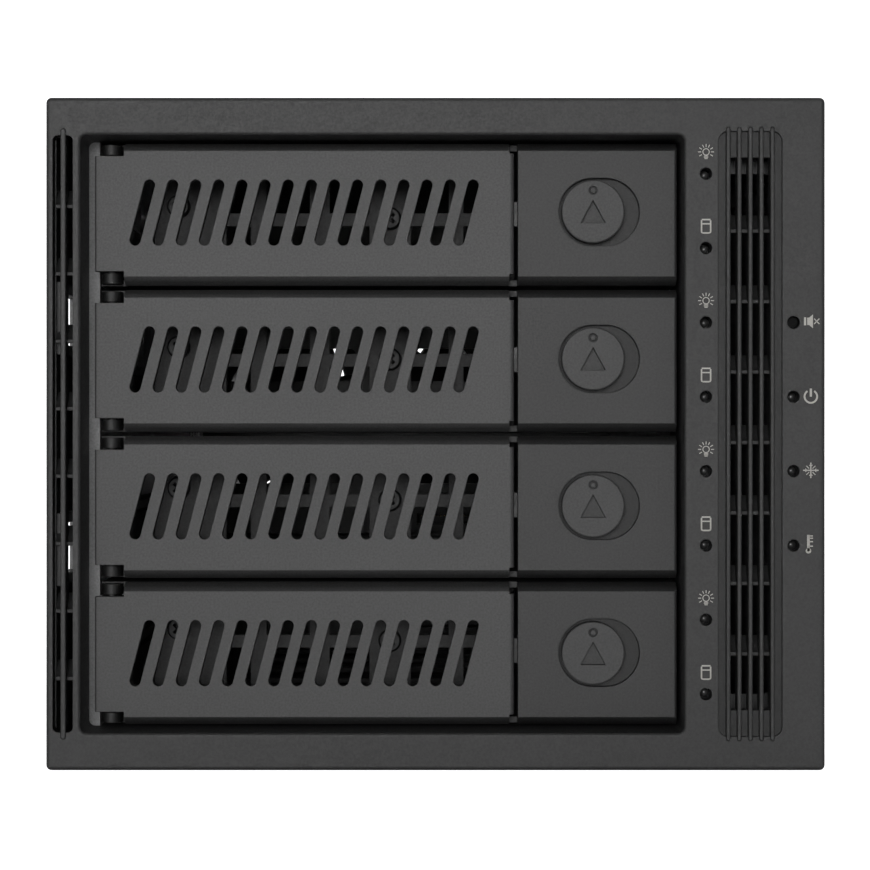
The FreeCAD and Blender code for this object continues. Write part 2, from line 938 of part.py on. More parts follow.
def case_screws():
    screws = []
    for side in (-1, 1):
        inward = Vector(-side, 0, 0)
        for depth in cover_screw_depths:
            screws.append(wafer_screw(inward, Vector(side * cage_half, face_y + depth, cover_screw_z())))
        for z in rear_screw_heights():
            screws.append(wafer_screw(inward, Vector(side * cage_half, face_y + rear_screw_depth(), z)))
    for x in wall_screw_rows():
        for depth in wall_screw_depths:
            screws.append(wafer_screw(Vector(0, 0, -1), Vector(x, face_y + depth, cage_height)))
    save("case_screws", screws)


# Trays
def front_profile(x0, x1, middle, back):
    """Bar along X with the bevelled top and bottom front edges of a tray."""
    flat = half_tray - bevel_height
    outline = [
        (tray_setback, middle - flat),
        (tray_setback + bevel_depth, middle - half_tray),
        (back, middle - half_tray),
        (back, middle + half_tray),
        (tray_setback + bevel_depth, middle + half_tray),
        (tray_setback, middle + flat),
    ]
    return extruded(outline, x0, x1)


def lever(index):
    middle = tray_z(index)
    body = front_profile(tray_left, lever_right, middle, lever_skirt_end)
    hollow = block(heel_right + lever_rim, lever_right - lever_rim, lever_back, lever_skirt_end,
                   middle - half_tray + lever_rim, middle + half_tray - lever_rim)
    tools = [hollow]
    for sign in (-1, 1):
        edge = middle + sign * heel_half_height
        far = middle + sign * (half_tray + overcut)
        tools.append(block(tray_left - overcut, heel_right, 0, lever_skirt_end + overcut,
                           min(edge, far), max(edge, far)))
        edge = middle + sign * lever_lip_half_height
        tools.append(block(lever_right - lever_lip, lever_right + overcut, 0, lever_skirt_end + overcut,
                           min(edge, far), max(edge, far)))
    tools.append(block(tray_left - overcut, heel_right, lever_back, lever_skirt_end + overcut,
                       middle - half_tray, middle + half_tray))
    body = cut(body, tools)
    body = body.makeFillet(lever_lip - lip_round_margin, front_edge_at(body, lever_right))
    body = body.makeFillet(heel_round, front_edge_at(body, tray_left))

    low = middle - heel_half_height
    high = middle + heel_half_height
    knuckle = upright(hinge_x, hinge_depth, knuckle_radius, low, high)
    web = block(hinge_x, heel_right + lever_rim, lever_back - bite, hinge_depth, low, high)
    catch = block(catch_left, catch_right, lever_back - bite, catch_end,
                  middle - catch_half_height, middle + catch_half_height)
    body = joined([body, knuckle, web, catch])

    tools = [upright(hinge_x, hinge_depth, pin_radius + running_clearance,
                     middle - half_tray, middle + half_tray)]
    tools.append(block(hinge_x - knuckle_radius - overcut, knuckle_gap_right, knuckle_gap_front,
                       hinge_depth + knuckle_radius + overcut,
                       middle - knuckle_gap_half, middle + knuckle_gap_half))
    window_z = middle + latch_rise
    tools.append(block(catch_left - overcut, catch_right + overcut, catch_window_front, catch_window_end,
                       window_z - catch_window_half_height, window_z + catch_window_half_height))
    half_run = slot_half_rise * math.tan(math.radians(slot_lean))
    for slot in range(slot_count):
        x = slot_first_x + slot * slot_pitch
        z = middle + slot_centre_rise
        tools.append(capsule(x - half_run, z - slot_half_rise, x + half_run, z + slot_half_rise,
                             slot_radius, tray_setback - overcut, hinge_depth + overcut))
    save("lever_%d" % (index + 1), [cut(body, tools)])


def lever_pin(index):
    middle = tray_z(index)
    reach = heel_half_height + ear_gap + ear_thickness
    pin = upright(hinge_x, hinge_depth, pin_radius, middle - reach, middle + reach)
    save("lever_pin_%d" % (index + 1), [pin])


def lever_spring(index):
    """Torsion spring round the hinge pin: one leg behind the lever, one in the tray front."""
    radius = lever_spring_radius
    rise = lever_spring_pitch / (2 * math.pi * radius)
    height = lever_spring_pitch * lever_spring_turns
    helix = Part.makeHelix(lever_spring_pitch, height, radius)
    start = Vector(radius, 0, 0)
    start_slope = Vector(0, 1, rise)
    start_slope.normalize()
    angle = 2 * math.pi * lever_spring_turns
    end = Vector(radius * math.cos(angle), radius * math.sin(angle), height)
    end_slope = Vector(-math.sin(angle), math.cos(angle), rise)
    end_slope.normalize()
    origin = start - start_slope * lever_spring_tail
    tail = Part.makeLine(origin, start)
    leg = Part.makeLine(end, end + end_slope * lever_spring_leg)
    path = Part.Wire([tail] + helix.Edges + [leg])
    profile = Part.Wire([Part.makeCircle(lever_spring_wire / 2, origin, start_slope)])
    spring = path.makePipeShell([profile], True, True)
    spring.rotate(Vector(0, 0, 0), Vector(0, 0, 1), 180)
    spring.translate(Vector(hinge_x, face_y + hinge_depth, tray_z(index) - height / 2))
    save("lever_spring_%d" % (index + 1), [spring])


def tray_front(index):
    middle = tray_z(index)
    block_body = front_profile(block_left, tray_right, middle, grille_back)
    block_body = block_body.makeFillet(tray_side_round, front_edge_at(block_body, tray_right))
    hollow = block(block_left + block_wall, tray_right - block_wall, floor_back, grille_back + overcut,
                   middle - half_tray + block_wall, middle + half_tray - block_wall)
    button_z_middle = middle + latch_rise
    recess = capsule(disc_x, button_z_middle, disc_x + recess_run, button_z_middle, recess_radius,
                     tray_setback - overcut, recess_face)
    neck_run = latch_travel + neck_clearance
    neck_slot = capsule(disc_x, button_z_middle, disc_x + neck_run, button_z_middle,
                        neck_radius + neck_clearance, recess_face - overcut, floor_back + overcut)
    window_half = hook_half_height + hook_window_gap
    hook_window = block(block_left - overcut, block_left + block_wall + overcut,
                        slider_face, hook_end + hook_window_gap,
                        button_z_middle - window_half, button_z_middle + window_half)
    block_body = cut(block_body, [hollow, recess, neck_slot, hook_window])

    pieces = [block_body]
    for sign in (-1, 1):
        inner = button_z_middle + sign * (slider_half_height + slider_guide_gap)
        outer = inner + sign * slider_guide_height
        pieces.append(block(slider_left, tray_right - block_wall / 2,
                            floor_back - bite, slider_back + slider_guide_reach,
                            min(inner, outer), max(inner, outer)))
        edge = middle + sign * half_tray
        inside = edge - sign * flange_thickness
        pieces.append(block(front_left, block_left + block_wall / 2, flange_start, grille_back,
                            min(edge, inside), max(edge, inside)))
        ear_in = middle + sign * (heel_half_height + ear_gap)
        ear_out = ear_in + sign * ear_thickness
        low = min(ear_in, ear_out)
        high = max(ear_in, ear_out)
        pieces.append(upright(hinge_x, hinge_depth, ear_radius, low, high))
        pieces.append(block(hinge_x - ear_radius, hinge_x + ear_radius, hinge_depth, ear_end, low, high))
    pieces.append(block(front_left, front_left + flange_thickness, side_wall_start, grille_back,
                        middle - half_tray + flange_thickness / 2, middle + half_tray - flange_thickness / 2))
    pieces.append(block(front_left, spring_stop_right, side_wall_start, spring_stop_end,
                        middle - knuckle_gap_half, middle + knuckle_gap_half))
    wall = block(front_left, block_left + block_wall / 2, grille_face, grille_back,
                 middle - half_tray + flange_thickness / 2, middle + half_tray - flange_thickness / 2)
    windows = [block(grille_open_left, grille_open_right, grille_face - overcut, grille_back + overcut,
                     middle - grille_window_half_height, middle + grille_window_half_height)]
    for x0, x1 in grille_windows:
        windows.append(block(x0, x1, grille_face - overcut, grille_back + overcut,
                             middle - grille_window_half_height, middle + grille_bar_low))
        windows.append(block(x0, x1, grille_face - overcut, grille_back + overcut,
                             middle + grille_bar_high, middle + grille_window_half_height))
    pieces.append(cut(wall, windows))
    body = joined(pieces)
    tools = [upright(hinge_x, hinge_depth, pin_radius + press_clearance,
                     middle - half_tray - overcut, middle + half_tray + overcut)]
    for x, rise in tray_screw_places:
        tools.append(rod(x, middle + rise, screw_hole_radius, grille_face - overcut, grille_back + overcut))
    tail_z = middle - lever_spring_pitch * lever_spring_turns / 2
    tools.append(rod(hinge_x - lever_spring_radius, tail_z, lever_spring_hole,
                     side_wall_start - overcut, spring_stop_end + overcut))
    save("tray_front_%d" % (index + 1), [cut(body, tools)])


def tray_screws(index):
    screws = []
    for x, rise in tray_screw_places:
        z = tray_z(index) + rise
        head = rod(x, z, screw_head_radius, grille_face - screw_head_height, grille_face)
        shank = rod(x, z, screw_thread_radius, grille_face, grille_back + sheet + tray_screw_end)
        driver = rod(x, z, screw_head_radius / 2, grille_face - screw_head_height,
                     grille_face - screw_head_height / 2)
        screws.append(cut(joined([head, shank]), [driver]))
    save("tray_screws_%d" % (index + 1), screws)


def tray_sled(index):
    middle = tray_z(index)
    start = grille_back
    floor_low = middle - sled_floor_drop
    floor_high = floor_low + sheet
    left = drive_x - sled_outside
    right = drive_x + sled_outside
    pieces = [block(left, right, start, sled_end, floor_low, floor_high)]
    for side in (-1, 1):
        outer = drive_x + side * sled_outside
        inner = drive_x + side * sled_inside
        tip = outer + side * sled_flange
        pieces.append(block(min(outer, inner), max(outer, inner), start, sled_end,
                            floor_low, middle + sled_wall_top))
        pieces.append(block(min(inner, tip), max(inner, tip), start, sled_end,
                            middle + flange_low, middle + sled_wall_top))
    for x, rise in tray_screw_places:
        pieces.append(block(x - sled_tab_width / 2, x + sled_tab_width / 2, start, start + sheet,
                            floor_low, middle + rise + sled_tab_rise))
    body = joined(pieces)
    tools = []
    for slot in range(sled_slot_count):
        depth = sled_slot_start + slot * sled_slot_pitch
        tools.append(rounded_slot(drive_x, depth, floor_low - overcut, floor_high + overcut))
    for step in drive_side_hole_steps:
        tools.append(crossbar(drive_back - step, floor_high + drive_side_hole_rise, drive_hole_radius,
                              left - overcut, right + overcut))
    for step in drive_base_hole_steps:
        for side in (-1, 1):
            x = drive_x + side * drive_base_hole_spacing / 2
            tools.append(upright(x, drive_back - step, drive_hole_radius,
                                 floor_low - overcut, floor_high + overcut))
    for x, rise in tray_screw_places:
        tools.append(rod(x, middle + rise, screw_hole_radius, start - overcut, start + sheet + overcut))
    save("tray_sled_%d" % (index + 1), [cut(body, tools)])


def rounded_slot(x, depth, z0, z1):
    """Slot cutter across the sled's floor."""
    radius = sled_slot_width / 2
    reach = sled_slot_length / 2 - radius
    bar = block(x - reach, x + reach, depth, depth + sled_slot_width, z0, z1)
    caps = [upright(place, depth + radius, radius, z0, z1) for place in (x - reach, x + reach)]
    return joined([bar] + caps)


def latch_slider(index):
    z = tray_z(index) + latch_rise
    plate = block(slider_left, slider_right, slider_face, slider_back,
                  z - slider_half_height, z + slider_half_height)
    neck = rod(disc_x, z, neck_radius, disc_back + slider_gap, slider_back)
    arm = block(hook_tip, slider_left + bite, hook_front, hook_end,
                z - hook_half_height, z + hook_half_height)
    boss = block(slider_boss_left, slider_right, slider_face, slider_face + slider_boss_depth,
                 z - slider_boss_half_height, z + slider_boss_half_height)
    spigot = crossbar(latch_spring_depth, z, spigot_radius, slider_right - bite, slider_right + spigot_length)
    body = joined([plate, neck, arm, boss, spigot])
    bore = rod(disc_x, z, shaft_radius + running_clearance, disc_back, slider_back + overcut)
    save("latch_slider_%d" % (index + 1), [cut(body, [bore])])


def latch_spring(index):
    x0 = slider_right + latch_spring_wire
    x1 = tray_right - block_wall - latch_spring_wire
    pitch = (x1 - x0) / latch_spring_turns
    spring = coil(latch_spring_radius, latch_spring_wire, pitch, latch_spring_turns)
    spring.rotate(Vector(0, 0, 0), Vector(0, 1, 0), 90)
    spring.translate(Vector(x0, face_y + latch_spring_depth, tray_z(index) + latch_rise))
    save("latch_spring_%d" % (index + 1), [spring])


def lock_disc(index):
    z = tray_z(index) + latch_rise
    disc = rod(disc_x, z, disc_radius, disc_face, disc_back)
    disc = disc.makeFillet(disc_edge_round, edges_at(disc, disc_face))
    lug_front = slider_back + lug_gap
    shaft = rod(disc_x, z, shaft_radius, disc_back - bite, lug_front + bite)
    lug = block(disc_x - lug_half_length, disc_x + lug_half_length, lug_front, lug_front + lug_thickness,
                z - lug_half_width, z + lug_half_width)
    body = joined([disc, shaft, lug])
    index_hole = rod(disc_x, z + index_rise, index_radius, disc_face - overcut, disc_face + index_depth)
    index_core = rod(disc_x, z + index_rise, index_core_radius, disc_face, disc_face + index_depth)
    corners = [
        Vector(disc_x, face_y + disc_face - overcut, z + key_top),
        Vector(disc_x + key_half_width, face_y + disc_face - overcut, z + key_bottom),
        Vector(disc_x - key_half_width, face_y + disc_face - overcut, z + key_bottom),
    ]
    key = Part.Face(Part.makePolygon(corners + corners[:1])).extrude(Vector(0, key_depth + overcut, 0))
    save("lock_disc_%d" % (index + 1), [joined([cut(body, [index_hole, key]), index_core])])


# Board, sockets and ports
def backplane_board():
    board = block(-board_half_width, board_half_width, board_face, board_back, board_low, board_high)
    tools = []
    for index in range(tray_count):
        z = tray_z(index) + board_slot_drop - board_slot_height / 2
        for x0, x1 in board_slots:
            tools.append(rounded_block(x0, x1, board_face - overcut, board_back + overcut,
                                       z - board_slot_height / 2, z + board_slot_height / 2,
                                       board_slot_corner))
    for side in (-1, 1):
        for z in board_tab_heights():
            tools.append(rod(side * board_hole_x, z, screw_hole_radius + board_hole_gap,
                             board_face - overcut, board_back + overcut))
    save("backplane_board", [cut(board, tools)])


def board_screws():
    screws = []
    for side in (-1, 1):
        for z in board_tab_heights():
            x = side * board_hole_x
            head = rod(x, z, screw_head_radius, board_face - screw_head_height, board_face)
            shank = rod(x, z, screw_thread_radius, board_face, board_back + board_screw_tail)
            screws.append(joined([head, shank]))
    save("board_screws", screws)


def drive_sockets():
    sockets = []
    for index in range(tray_count):
        z = tray_z(index) - socket_drop
        front = board_face - socket_depth
        body = block(socket_left, socket_right, front, board_face,
                     z - socket_height / 2, z + socket_height / 2)
        x0 = socket_left + socket_margin
        x1 = x0 + socket_power_width
        x2 = socket_right - socket_margin - socket_data_width
        x3 = socket_right - socket_margin
        slots = []
        blades = []
        for low, high in ((x0, x1), (x2, x3)):
            slots.append(block(low, high, front - overcut, front + socket_slot_depth,
                               z - socket_slot_height / 2, z + socket_slot_height / 2))
            blades.append(block(low + socket_blade_margin, high - socket_blade_margin,
                                front + socket_blade_margin, front + socket_slot_depth + bite,
                                z - socket_blade_height / 2, z + socket_blade_height / 2))
        sockets.append(joined([cut(body, slots)] + blades))
    save("drive_sockets", sockets)


def data_ports():
    ports = []
    for index in range(tray_count):
        z = tray_z(index)
        back = board_back + port_depth
        body = block(port_left, port_left + port_width, board_back, back,
                     z - port_height / 2, z + port_height / 2)
        x0 = port_left + (port_width - port_slot_width) / 2
        slot = block(x0, x0 + port_slot_width, back - port_slot_depth, back + overcut,
                     z - port_slot_height / 2, z + port_slot_height / 2)
        key = block(x0, x0 + port_key_width, back - port_slot_depth, back + overcut, z, z + port_height / 3)
        blade = block(x0 + port_blade_gap, x0 + port_slot_width - port_blade_margin,
                      back - port_slot_depth - bite, back - port_blade_margin,
                      z - port_blade_height / 2, z + port_blade_height / 2)
        ports.append(joined([cut(body, [slot, key]), blade]))
    save("data_ports", ports)


def power_ports():
    pieces = []
    back = board_back + power_depth
    for sign in (-1, 1):
        z = stack_z + sign * power_rise
        low = z - power_height / 2
        body = block(power_left, power_left + power_width, board_back, back, low, low + power_height)
        cavity = block(power_left + power_wall, power_left + power_width - power_wall,
                       board_back + power_wall, back + overcut,
                       low + power_wall, low + power_height - power_wall)
        shell = cut(body, [cavity])
        first = z - (power_pin_count - 1) / 2 * power_pin_pitch
        holes = []
        for pin in range(power_pin_count):
            x = power_left + power_width / 2
            pin_z = first + pin * power_pin_pitch
            holes.append(rod(x, pin_z, power_pin_radius, board_back - overcut,
                             board_back + power_wall + overcut))
            pieces.append(rod(x, pin_z, power_pin_radius, board_back, back - power_pin_setback))
        pieces.append(cut(shell, holes))
    save("power_ports", pieces)


def board_parts():
    pieces = []
    for x, z in capacitor_places:
        can = rod(x, z, capacitor_radius, board_back, board_back + capacitor_height)
        pieces.append(can.makeFillet(capacitor_round, edges_at(can, board_back + capacitor_height)))
    for x, z in chip_places:
        half = chip_size / 2
        pieces.append(block(x - half, x + half, board_back, board_back + chip_thickness, z - half, z + half))
    half_width = header_width / 2
    half_height = header_height / 2
    body = block(header_x - half_width, header_x + half_width, board_back, board_back + header_depth,
                 header_z - half_height, header_z + half_height)
    cavity = block(header_x - half_width + header_wall, header_x + half_width - header_wall,
                   board_back + 2 * header_wall, board_back + header_depth + overcut,
                   header_z - half_height + header_wall, header_z + half_height - header_wall)
    pins = []
    first = header_x - (header_pin_count - 1) / 2 * header_pin_pitch
    for pin in range(header_pin_count):
        pins.append(rod(first + pin * header_pin_pitch, header_z, header_pin_radius,
                        board_back + header_wall, board_back + header_depth - header_pin_setback))
    pieces.append(joined([cut(body, [cavity])] + pins))
    save("board_parts", pieces)


def buzzer():
    body = rod(buzzer_x, buzzer_z, buzzer_radius, board_back, board_back + buzzer_height)
    body = body.makeFillet(buzzer_round, edges_at(body, board_back + buzzer_height))
    hole = rod(buzzer_x, buzzer_z, buzzer_hole_radius,
               board_back + buzzer_height - buzzer_hole_depth, board_back + buzzer_height + overcut)
    save("buzzer", [cut(body, [hole])])


# Fan
def fan_corners():
    step = fan_hole_half_spacing
    return [(fan_x + a * step, stack_z + b * step) for a in (-1, 1) for b in (-1, 1)]


def fan_frame():
    half = fan_size / 2
    body = rounded_block(fan_x - half, fan_x + half, fan_front, rear_panel_front,
                         stack_z - half, stack_z + half, fan_corner)
    far = half + overcut
    waist = block(fan_x - far, fan_x + far, fan_front + fan_waist_start,
                  rear_panel_front - fan_waist_start, stack_z - far, stack_z + far)
    drum = rod(fan_x, stack_z, half - fan_drum_inset, fan_front, rear_panel_front)
    body = cut(body, [cut(waist, [drum])])
    bore = rod(fan_x, stack_z, fan_bore, fan_front - overcut, rear_panel_front + overcut)
    body = cut(body, [bore])
    base_front = rear_panel_front - fan_base_thickness
    pieces = [body, rod(fan_x, stack_z, fan_hub_radius, base_front, rear_panel_front)]
    for index in range(fan_strut_count):
        strut = block(fan_hub_radius / 2, fan_bore + bite, base_front, rear_panel_front,
                      -fan_strut_width / 2, fan_strut_width / 2)
        strut.rotate(Vector(0, 0, 0), Vector(0, 1, 0), index * 360 / fan_strut_count)
        strut.translate(Vector(fan_x, 0, stack_z))
        pieces.append(strut)
    body = joined(pieces)
    tools = [rod(fan_x, stack_z, fan_shaft_radius + running_clearance,
                 base_front - overcut, rear_panel_front - sheet)]
    for x, z in fan_corners():
        tools.append(rod(x, z, fan_hole_radius, fan_front - overcut, rear_panel_front + overcut))
    save("fan_frame", [cut(body, tools)])


def blade_section(radius, pitch, chord):
    """Rectangle across a blade at one radius, square to that radius."""
    angle = math.radians(pitch)
    along = Vector(0, math.sin(angle), math.cos(angle)) * (chord / 2)
    across = Vector(0, math.cos(angle), -math.sin(angle)) * (blade_thickness / 2)
    centre = Vector(radius, 0, 0)
    corners = [
        centre + along + across,
        centre + along - across,
        centre - along - across,
        centre - along + across,
    ]
    return Part.makePolygon(corners + corners[:1])


def fan_rotor():
    hub_front = fan_front + fan_rotor_setback
    hub_back = rear_panel_front - fan_base_thickness - fan_hub_gap
    hub = rod(fan_x, stack_z, fan_hub_radius, hub_front, hub_back)
    hub = hub.makeFillet(fan_hub_round, edges_at(hub, hub_front))
    root = blade_section(fan_hub_radius - blade_root_sink, blade_root_pitch, blade_root_chord)
    tip = blade_section(fan_bore + overcut, blade_tip_pitch, blade_tip_chord)
    blade = Part.makeLoft([root, tip], True)
    rim = Part.makeCylinder(fan_bore - blade_tip_gap, 2 * fan_depth, Vector(0, -fan_depth, 0),
                            Vector(0, 1, 0))
    blade = blade.common(rim)
    pieces = [hub]
    for index in range(blade_count):
        copy = blade.copy()
        turn = blade_first_turn + index * 360 / blade_count
        copy.rotate(Vector(0, 0, 0), Vector(0, 1, 0), turn)
        copy.translate(Vector(fan_x, face_y + (hub_front + hub_back) / 2, stack_z))
        pieces.append(copy)
    shaft_end = rear_panel_front - sheet - fan_shaft_end_gap
    pieces.append(rod(fan_x, stack_z, fan_shaft_radius, hub_back - bite, shaft_end))
    save("fan_rotor", [joined(pieces)])


def fan_guard():
    depth = rear_panel_back + guard_wire / 2
    centre = Vector(fan_x, face_y + depth, stack_z)
    pieces = []
    for radius in guard_ring_radii:
        pieces.append(Part.makeTorus(radius, guard_wire / 2, centre, Vector(0, 1, 0)))
    for x, z in fan_corners():
        loop = Vector(x, face_y + depth, z)
        pieces.append(Part.makeTorus(guard_loop_radius, guard_wire / 2, loop, Vector(0, 1, 0)))
        outward = Vector(x - fan_x, 0, z - stack_z)
        outward.normalize()
        start = centre + outward * guard_ring_radii[0]
        end = loop - outward * guard_loop_radius
        pieces.append(Part.makeCylinder(guard_arm_wire / 2, (end - start).Length, start, outward))
    save("fan_guard", [joined(pieces)])


def fan_screws():
    screws = []
    for x, z in fan_corners():
        head_front = rear_panel_back + guard_wire
        head = rod(x, z, fan_screw_head_radius, head_front, rear_end)
        shank = rod(x, z, fan_screw_radius, rear_panel_back - fan_screw_length, head_front)
        driver = rod(x, z, fan_driver_radius, rear_end - fan_screw_head_height / 2, rear_end + overcut)
        screws.append(cut(joined([head, shank]), [driver]))
    save("fan_screws", screws)


# Indicators and the small push button
def led_board():
    board = block(led_board_left, led_board_right, led_board_depth, led_board_depth + led_board_thickness,
                  stack_z - led_board_half_height, stack_z + led_board_half_height)
    front = led_board_depth - overcut
    back = led_board_depth + led_board_thickness + overcut
    window = rounded_block(led_window_left, led_window_right, front, back,
                           stack_z - led_window_half_height, stack_z + led_window_half_height,
                           led_window_corner)
    tools = [window]
    for x, z in post_places():
        tools.append(rod(x, z, post_screw_radius + post_hole_gap, front, back))
    save("led_board", [cut(board, tools)])


def led_board_screws():
    screws = []
    back = led_board_depth + led_board_thickness
    for x, z in post_places():
        head = rod(x, z, post_screw_head_radius, back, back + post_screw_head_height)
        shank = rod(x, z, post_screw_radius - press_clearance,
                    led_board_depth - post_screw_length + post_screw_spare, back)
        screws.append(joined([head, shank]))
    save("led_board_screws", screws)


def indicator(x, z):
    """Small light with a domed tip, standing on the indicator board."""
    base = rod(x, z, led_base_radius, led_board_depth - led_base_height, led_board_depth)
    body = rod(x, z, led_radius, led_tip_depth + led_radius, led_board_depth - led_base_height)
    dome = Part.makeSphere(led_radius, Vector(x, face_y + led_tip_depth + led_radius, z))
    return joined([base, body, dome])


def indicator_leds():
    lights = [indicator(led_x, indicator_z(index)) for index in range(2 * tray_count)]
    lights += [indicator(status_x, z) for z in status_heights()]
    save("indicator_leds", lights)


def mute_button():
    z = button_z()
    stem_end = led_board_depth - switch_height - switch_cap_height - button_travel - button_rest_gap
    stem = rod(status_x, z, button_radius, button_front, stem_end)
    stem = stem.makeFillet(button_round, edges_at(stem, button_front))
    flange = rod(status_x, z, button_flange_radius, button_flange_depth,
                 button_flange_depth + button_flange_height)
    save("mute_button", [joined([stem, flange])])


def mute_switch():
    z = button_z()
    half = switch_size / 2
    front = led_board_depth - switch_height
    body = block(status_x - half, status_x + half, front, led_board_depth, z - half, z + half)
    cap = rod(status_x, z, switch_cap_radius, front - switch_cap_height, front + bite)
    save("mute_switch", [joined([body, cap])])


os.makedirs("parts", exist_ok=True)
bezel()
cage_shell()
cage_cover()
inner_wall("inner_wall_left", left_wall_face, -1)
inner_wall("inner_wall_right", right_wall_face, 1)
guide_rails()
rear_panel()
case_screws()
for number in range(tray_count):
    tray_sled(number)
    tray_front(number)
    tray_screws(number)
    lever(number)
    lever_pin(number)
    lever_spring(number)
    latch_slider(number)
    latch_spring(number)
    lock_disc(number)
backplane_board()
board_screws()
drive_sockets()
data_ports()
power_ports()
board_parts()
buzzer()
fan_frame()
fan_rotor()
fan_guard()
fan_screws()
led_board()
led_board_screws()
indicator_leds()
mute_button()
mute_switch()
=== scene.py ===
import json
import math

import bmesh
import bpy
from mathutils import Matrix, Vector


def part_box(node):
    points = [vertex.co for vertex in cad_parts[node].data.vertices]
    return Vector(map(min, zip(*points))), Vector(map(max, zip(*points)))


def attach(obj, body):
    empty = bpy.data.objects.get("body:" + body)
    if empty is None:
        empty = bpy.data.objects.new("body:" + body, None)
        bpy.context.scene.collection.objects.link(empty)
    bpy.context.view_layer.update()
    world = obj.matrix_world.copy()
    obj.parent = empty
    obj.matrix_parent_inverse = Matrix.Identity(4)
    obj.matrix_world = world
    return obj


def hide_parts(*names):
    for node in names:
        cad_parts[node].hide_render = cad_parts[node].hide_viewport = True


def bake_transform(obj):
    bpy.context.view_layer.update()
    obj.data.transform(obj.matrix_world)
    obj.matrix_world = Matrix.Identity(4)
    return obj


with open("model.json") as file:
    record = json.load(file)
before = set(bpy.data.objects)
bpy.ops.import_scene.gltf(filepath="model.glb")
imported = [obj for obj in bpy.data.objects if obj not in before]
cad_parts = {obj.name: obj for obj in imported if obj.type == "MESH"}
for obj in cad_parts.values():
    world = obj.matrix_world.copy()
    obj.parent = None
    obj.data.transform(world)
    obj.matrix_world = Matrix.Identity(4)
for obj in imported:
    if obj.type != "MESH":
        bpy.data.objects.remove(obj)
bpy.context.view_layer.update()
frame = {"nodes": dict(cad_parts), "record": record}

# Sizes are in millimetres, and MM turns them into the frame's metres.
MM = 0.001
RIB_PROUD = 0.3
face_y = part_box("bezel")[0][1] / MM + RIB_PROUD
bezel_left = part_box("bezel")[0][0] / MM
bezel_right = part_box("bezel")[1][0] / MM
bezel_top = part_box("bezel")[1][2] / MM
stack_z = bezel_top / 2

# Places that the indicator holes and their signs share
TRAY_COUNT = 4
LED_X = 51.0
STATUS_X = 67.5
LED_PITCH = 14.02
TRAY_PITCH = 28.04
STATUS_FIRST = 2

# Camera
CAMERA_X = -0.1
CAMERA_Z = 63.3
CAMERA_DISTANCE = 400.0
SENSOR = 36.0
LENS = 87.8
CLIP_START = 0.01
CLIP_END = 50.0

# Signs printed on the bezel
PRINT_THICKNESS = 0.03
PRINT_SINK = 0.01
SIGN_RISE = 4.1
STATUS_SIGN_SHIFT = 3.25


def tray_z(index):
    """Height of the middle of a tray, counted from the top."""
    return stack_z + ((TRAY_COUNT - 1) / 2 - index) * TRAY_PITCH


def indicator_z(index):
    """Height of an indicator in the left column, counted from the top."""
    return stack_z + ((2 * TRAY_COUNT - 1) / 2 - index) * LED_PITCH


# Camera, floor and lights
def make_camera():
    data = bpy.data.cameras.new("camera")
    data.sensor_width = SENSOR
    data.lens = LENS
    data.clip_start = CLIP_START
    data.clip_end = CLIP_END
    camera = bpy.data.objects.new("camera", data)
    bpy.context.scene.collection.objects.link(camera)
    camera.location = Vector((CAMERA_X, face_y - CAMERA_DISTANCE, CAMERA_Z)) * MM
    camera.rotation_euler = (math.radians(90), 0, 0)
    bpy.context.scene.camera = camera


STUDIO_RADIUS = 3.2
STUDIO_CURVE = 1.2
STUDIO_HEIGHT = 4.0
STUDIO_SEGMENTS = 96
CURVE_STEPS = 16


def make_studio(material):
    """Pale floor that curves up into a wall all round."""
    profile = [(0.0, 0.0), (STUDIO_RADIUS - STUDIO_CURVE, 0.0)]
    for step in range(1, CURVE_STEPS + 1):
        angle = math.pi / 2 * step / CURVE_STEPS
        reach = STUDIO_RADIUS - STUDIO_CURVE + STUDIO_CURVE * math.sin(angle)
        profile.append((reach, STUDIO_CURVE * (1 - math.cos(angle))))
    profile.append((STUDIO_RADIUS, STUDIO_HEIGHT))
    shape = bmesh.new()
    centre = shape.verts.new((0, 0, 0))
    rings = []
    for radius, height in profile[1:]:
        ring = []
        for index in range(STUDIO_SEGMENTS):
            angle = 2 * math.pi * index / STUDIO_SEGMENTS
            ring.append(shape.verts.new((radius * math.cos(angle), radius * math.sin(angle), height)))
        rings.append(ring)
    for index in range(STUDIO_SEGMENTS):
        after = (index + 1) % STUDIO_SEGMENTS
        shape.faces.new((centre, rings[0][index], rings[0][after]))
        for low, high in zip(rings, rings[1:]):
            shape.faces.new((low[index], high[index], high[after], low[after]))
    mesh = bpy.data.meshes.new("studio")
    shape.to_mesh(mesh)
    shape.free()
    mesh.polygons.foreach_set("use_smooth", [True] * len(mesh.polygons))
    mesh.materials.append(material)
    studio = bpy.data.objects.new("studio", mesh)
    bpy.context.scene.collection.objects.link(studio)


# Lights: place, size and power, in metres and watts
FRONT_LIGHT = ((-0.26, -2.3, 0.25), (1.0, 0.8), 34.5)
TOP_LIGHT = ((0.1, 0.6, 2.2), (2.0, 2.0), 12.0)
REAR_LIGHT = ((0.7, 1.9, 1.3), (1.6, 1.4), 14.0)
REAR_AIM = (0, 0, 0.06)
AIR_GLOW = 0.04


def area_light(name, target, place, size, watts):
    data = bpy.data.lights.new(name, "AREA")
    data.shape = "RECTANGLE"
    data.size, data.size_y = size
    data.energy = watts
    light = bpy.data.objects.new(name, data)
    bpy.context.scene.collection.objects.link(light)
    light.location = place
    aim = Vector(target) - Vector(place)
    light.rotation_euler = aim.to_track_quat("-Z", "Y").to_euler()


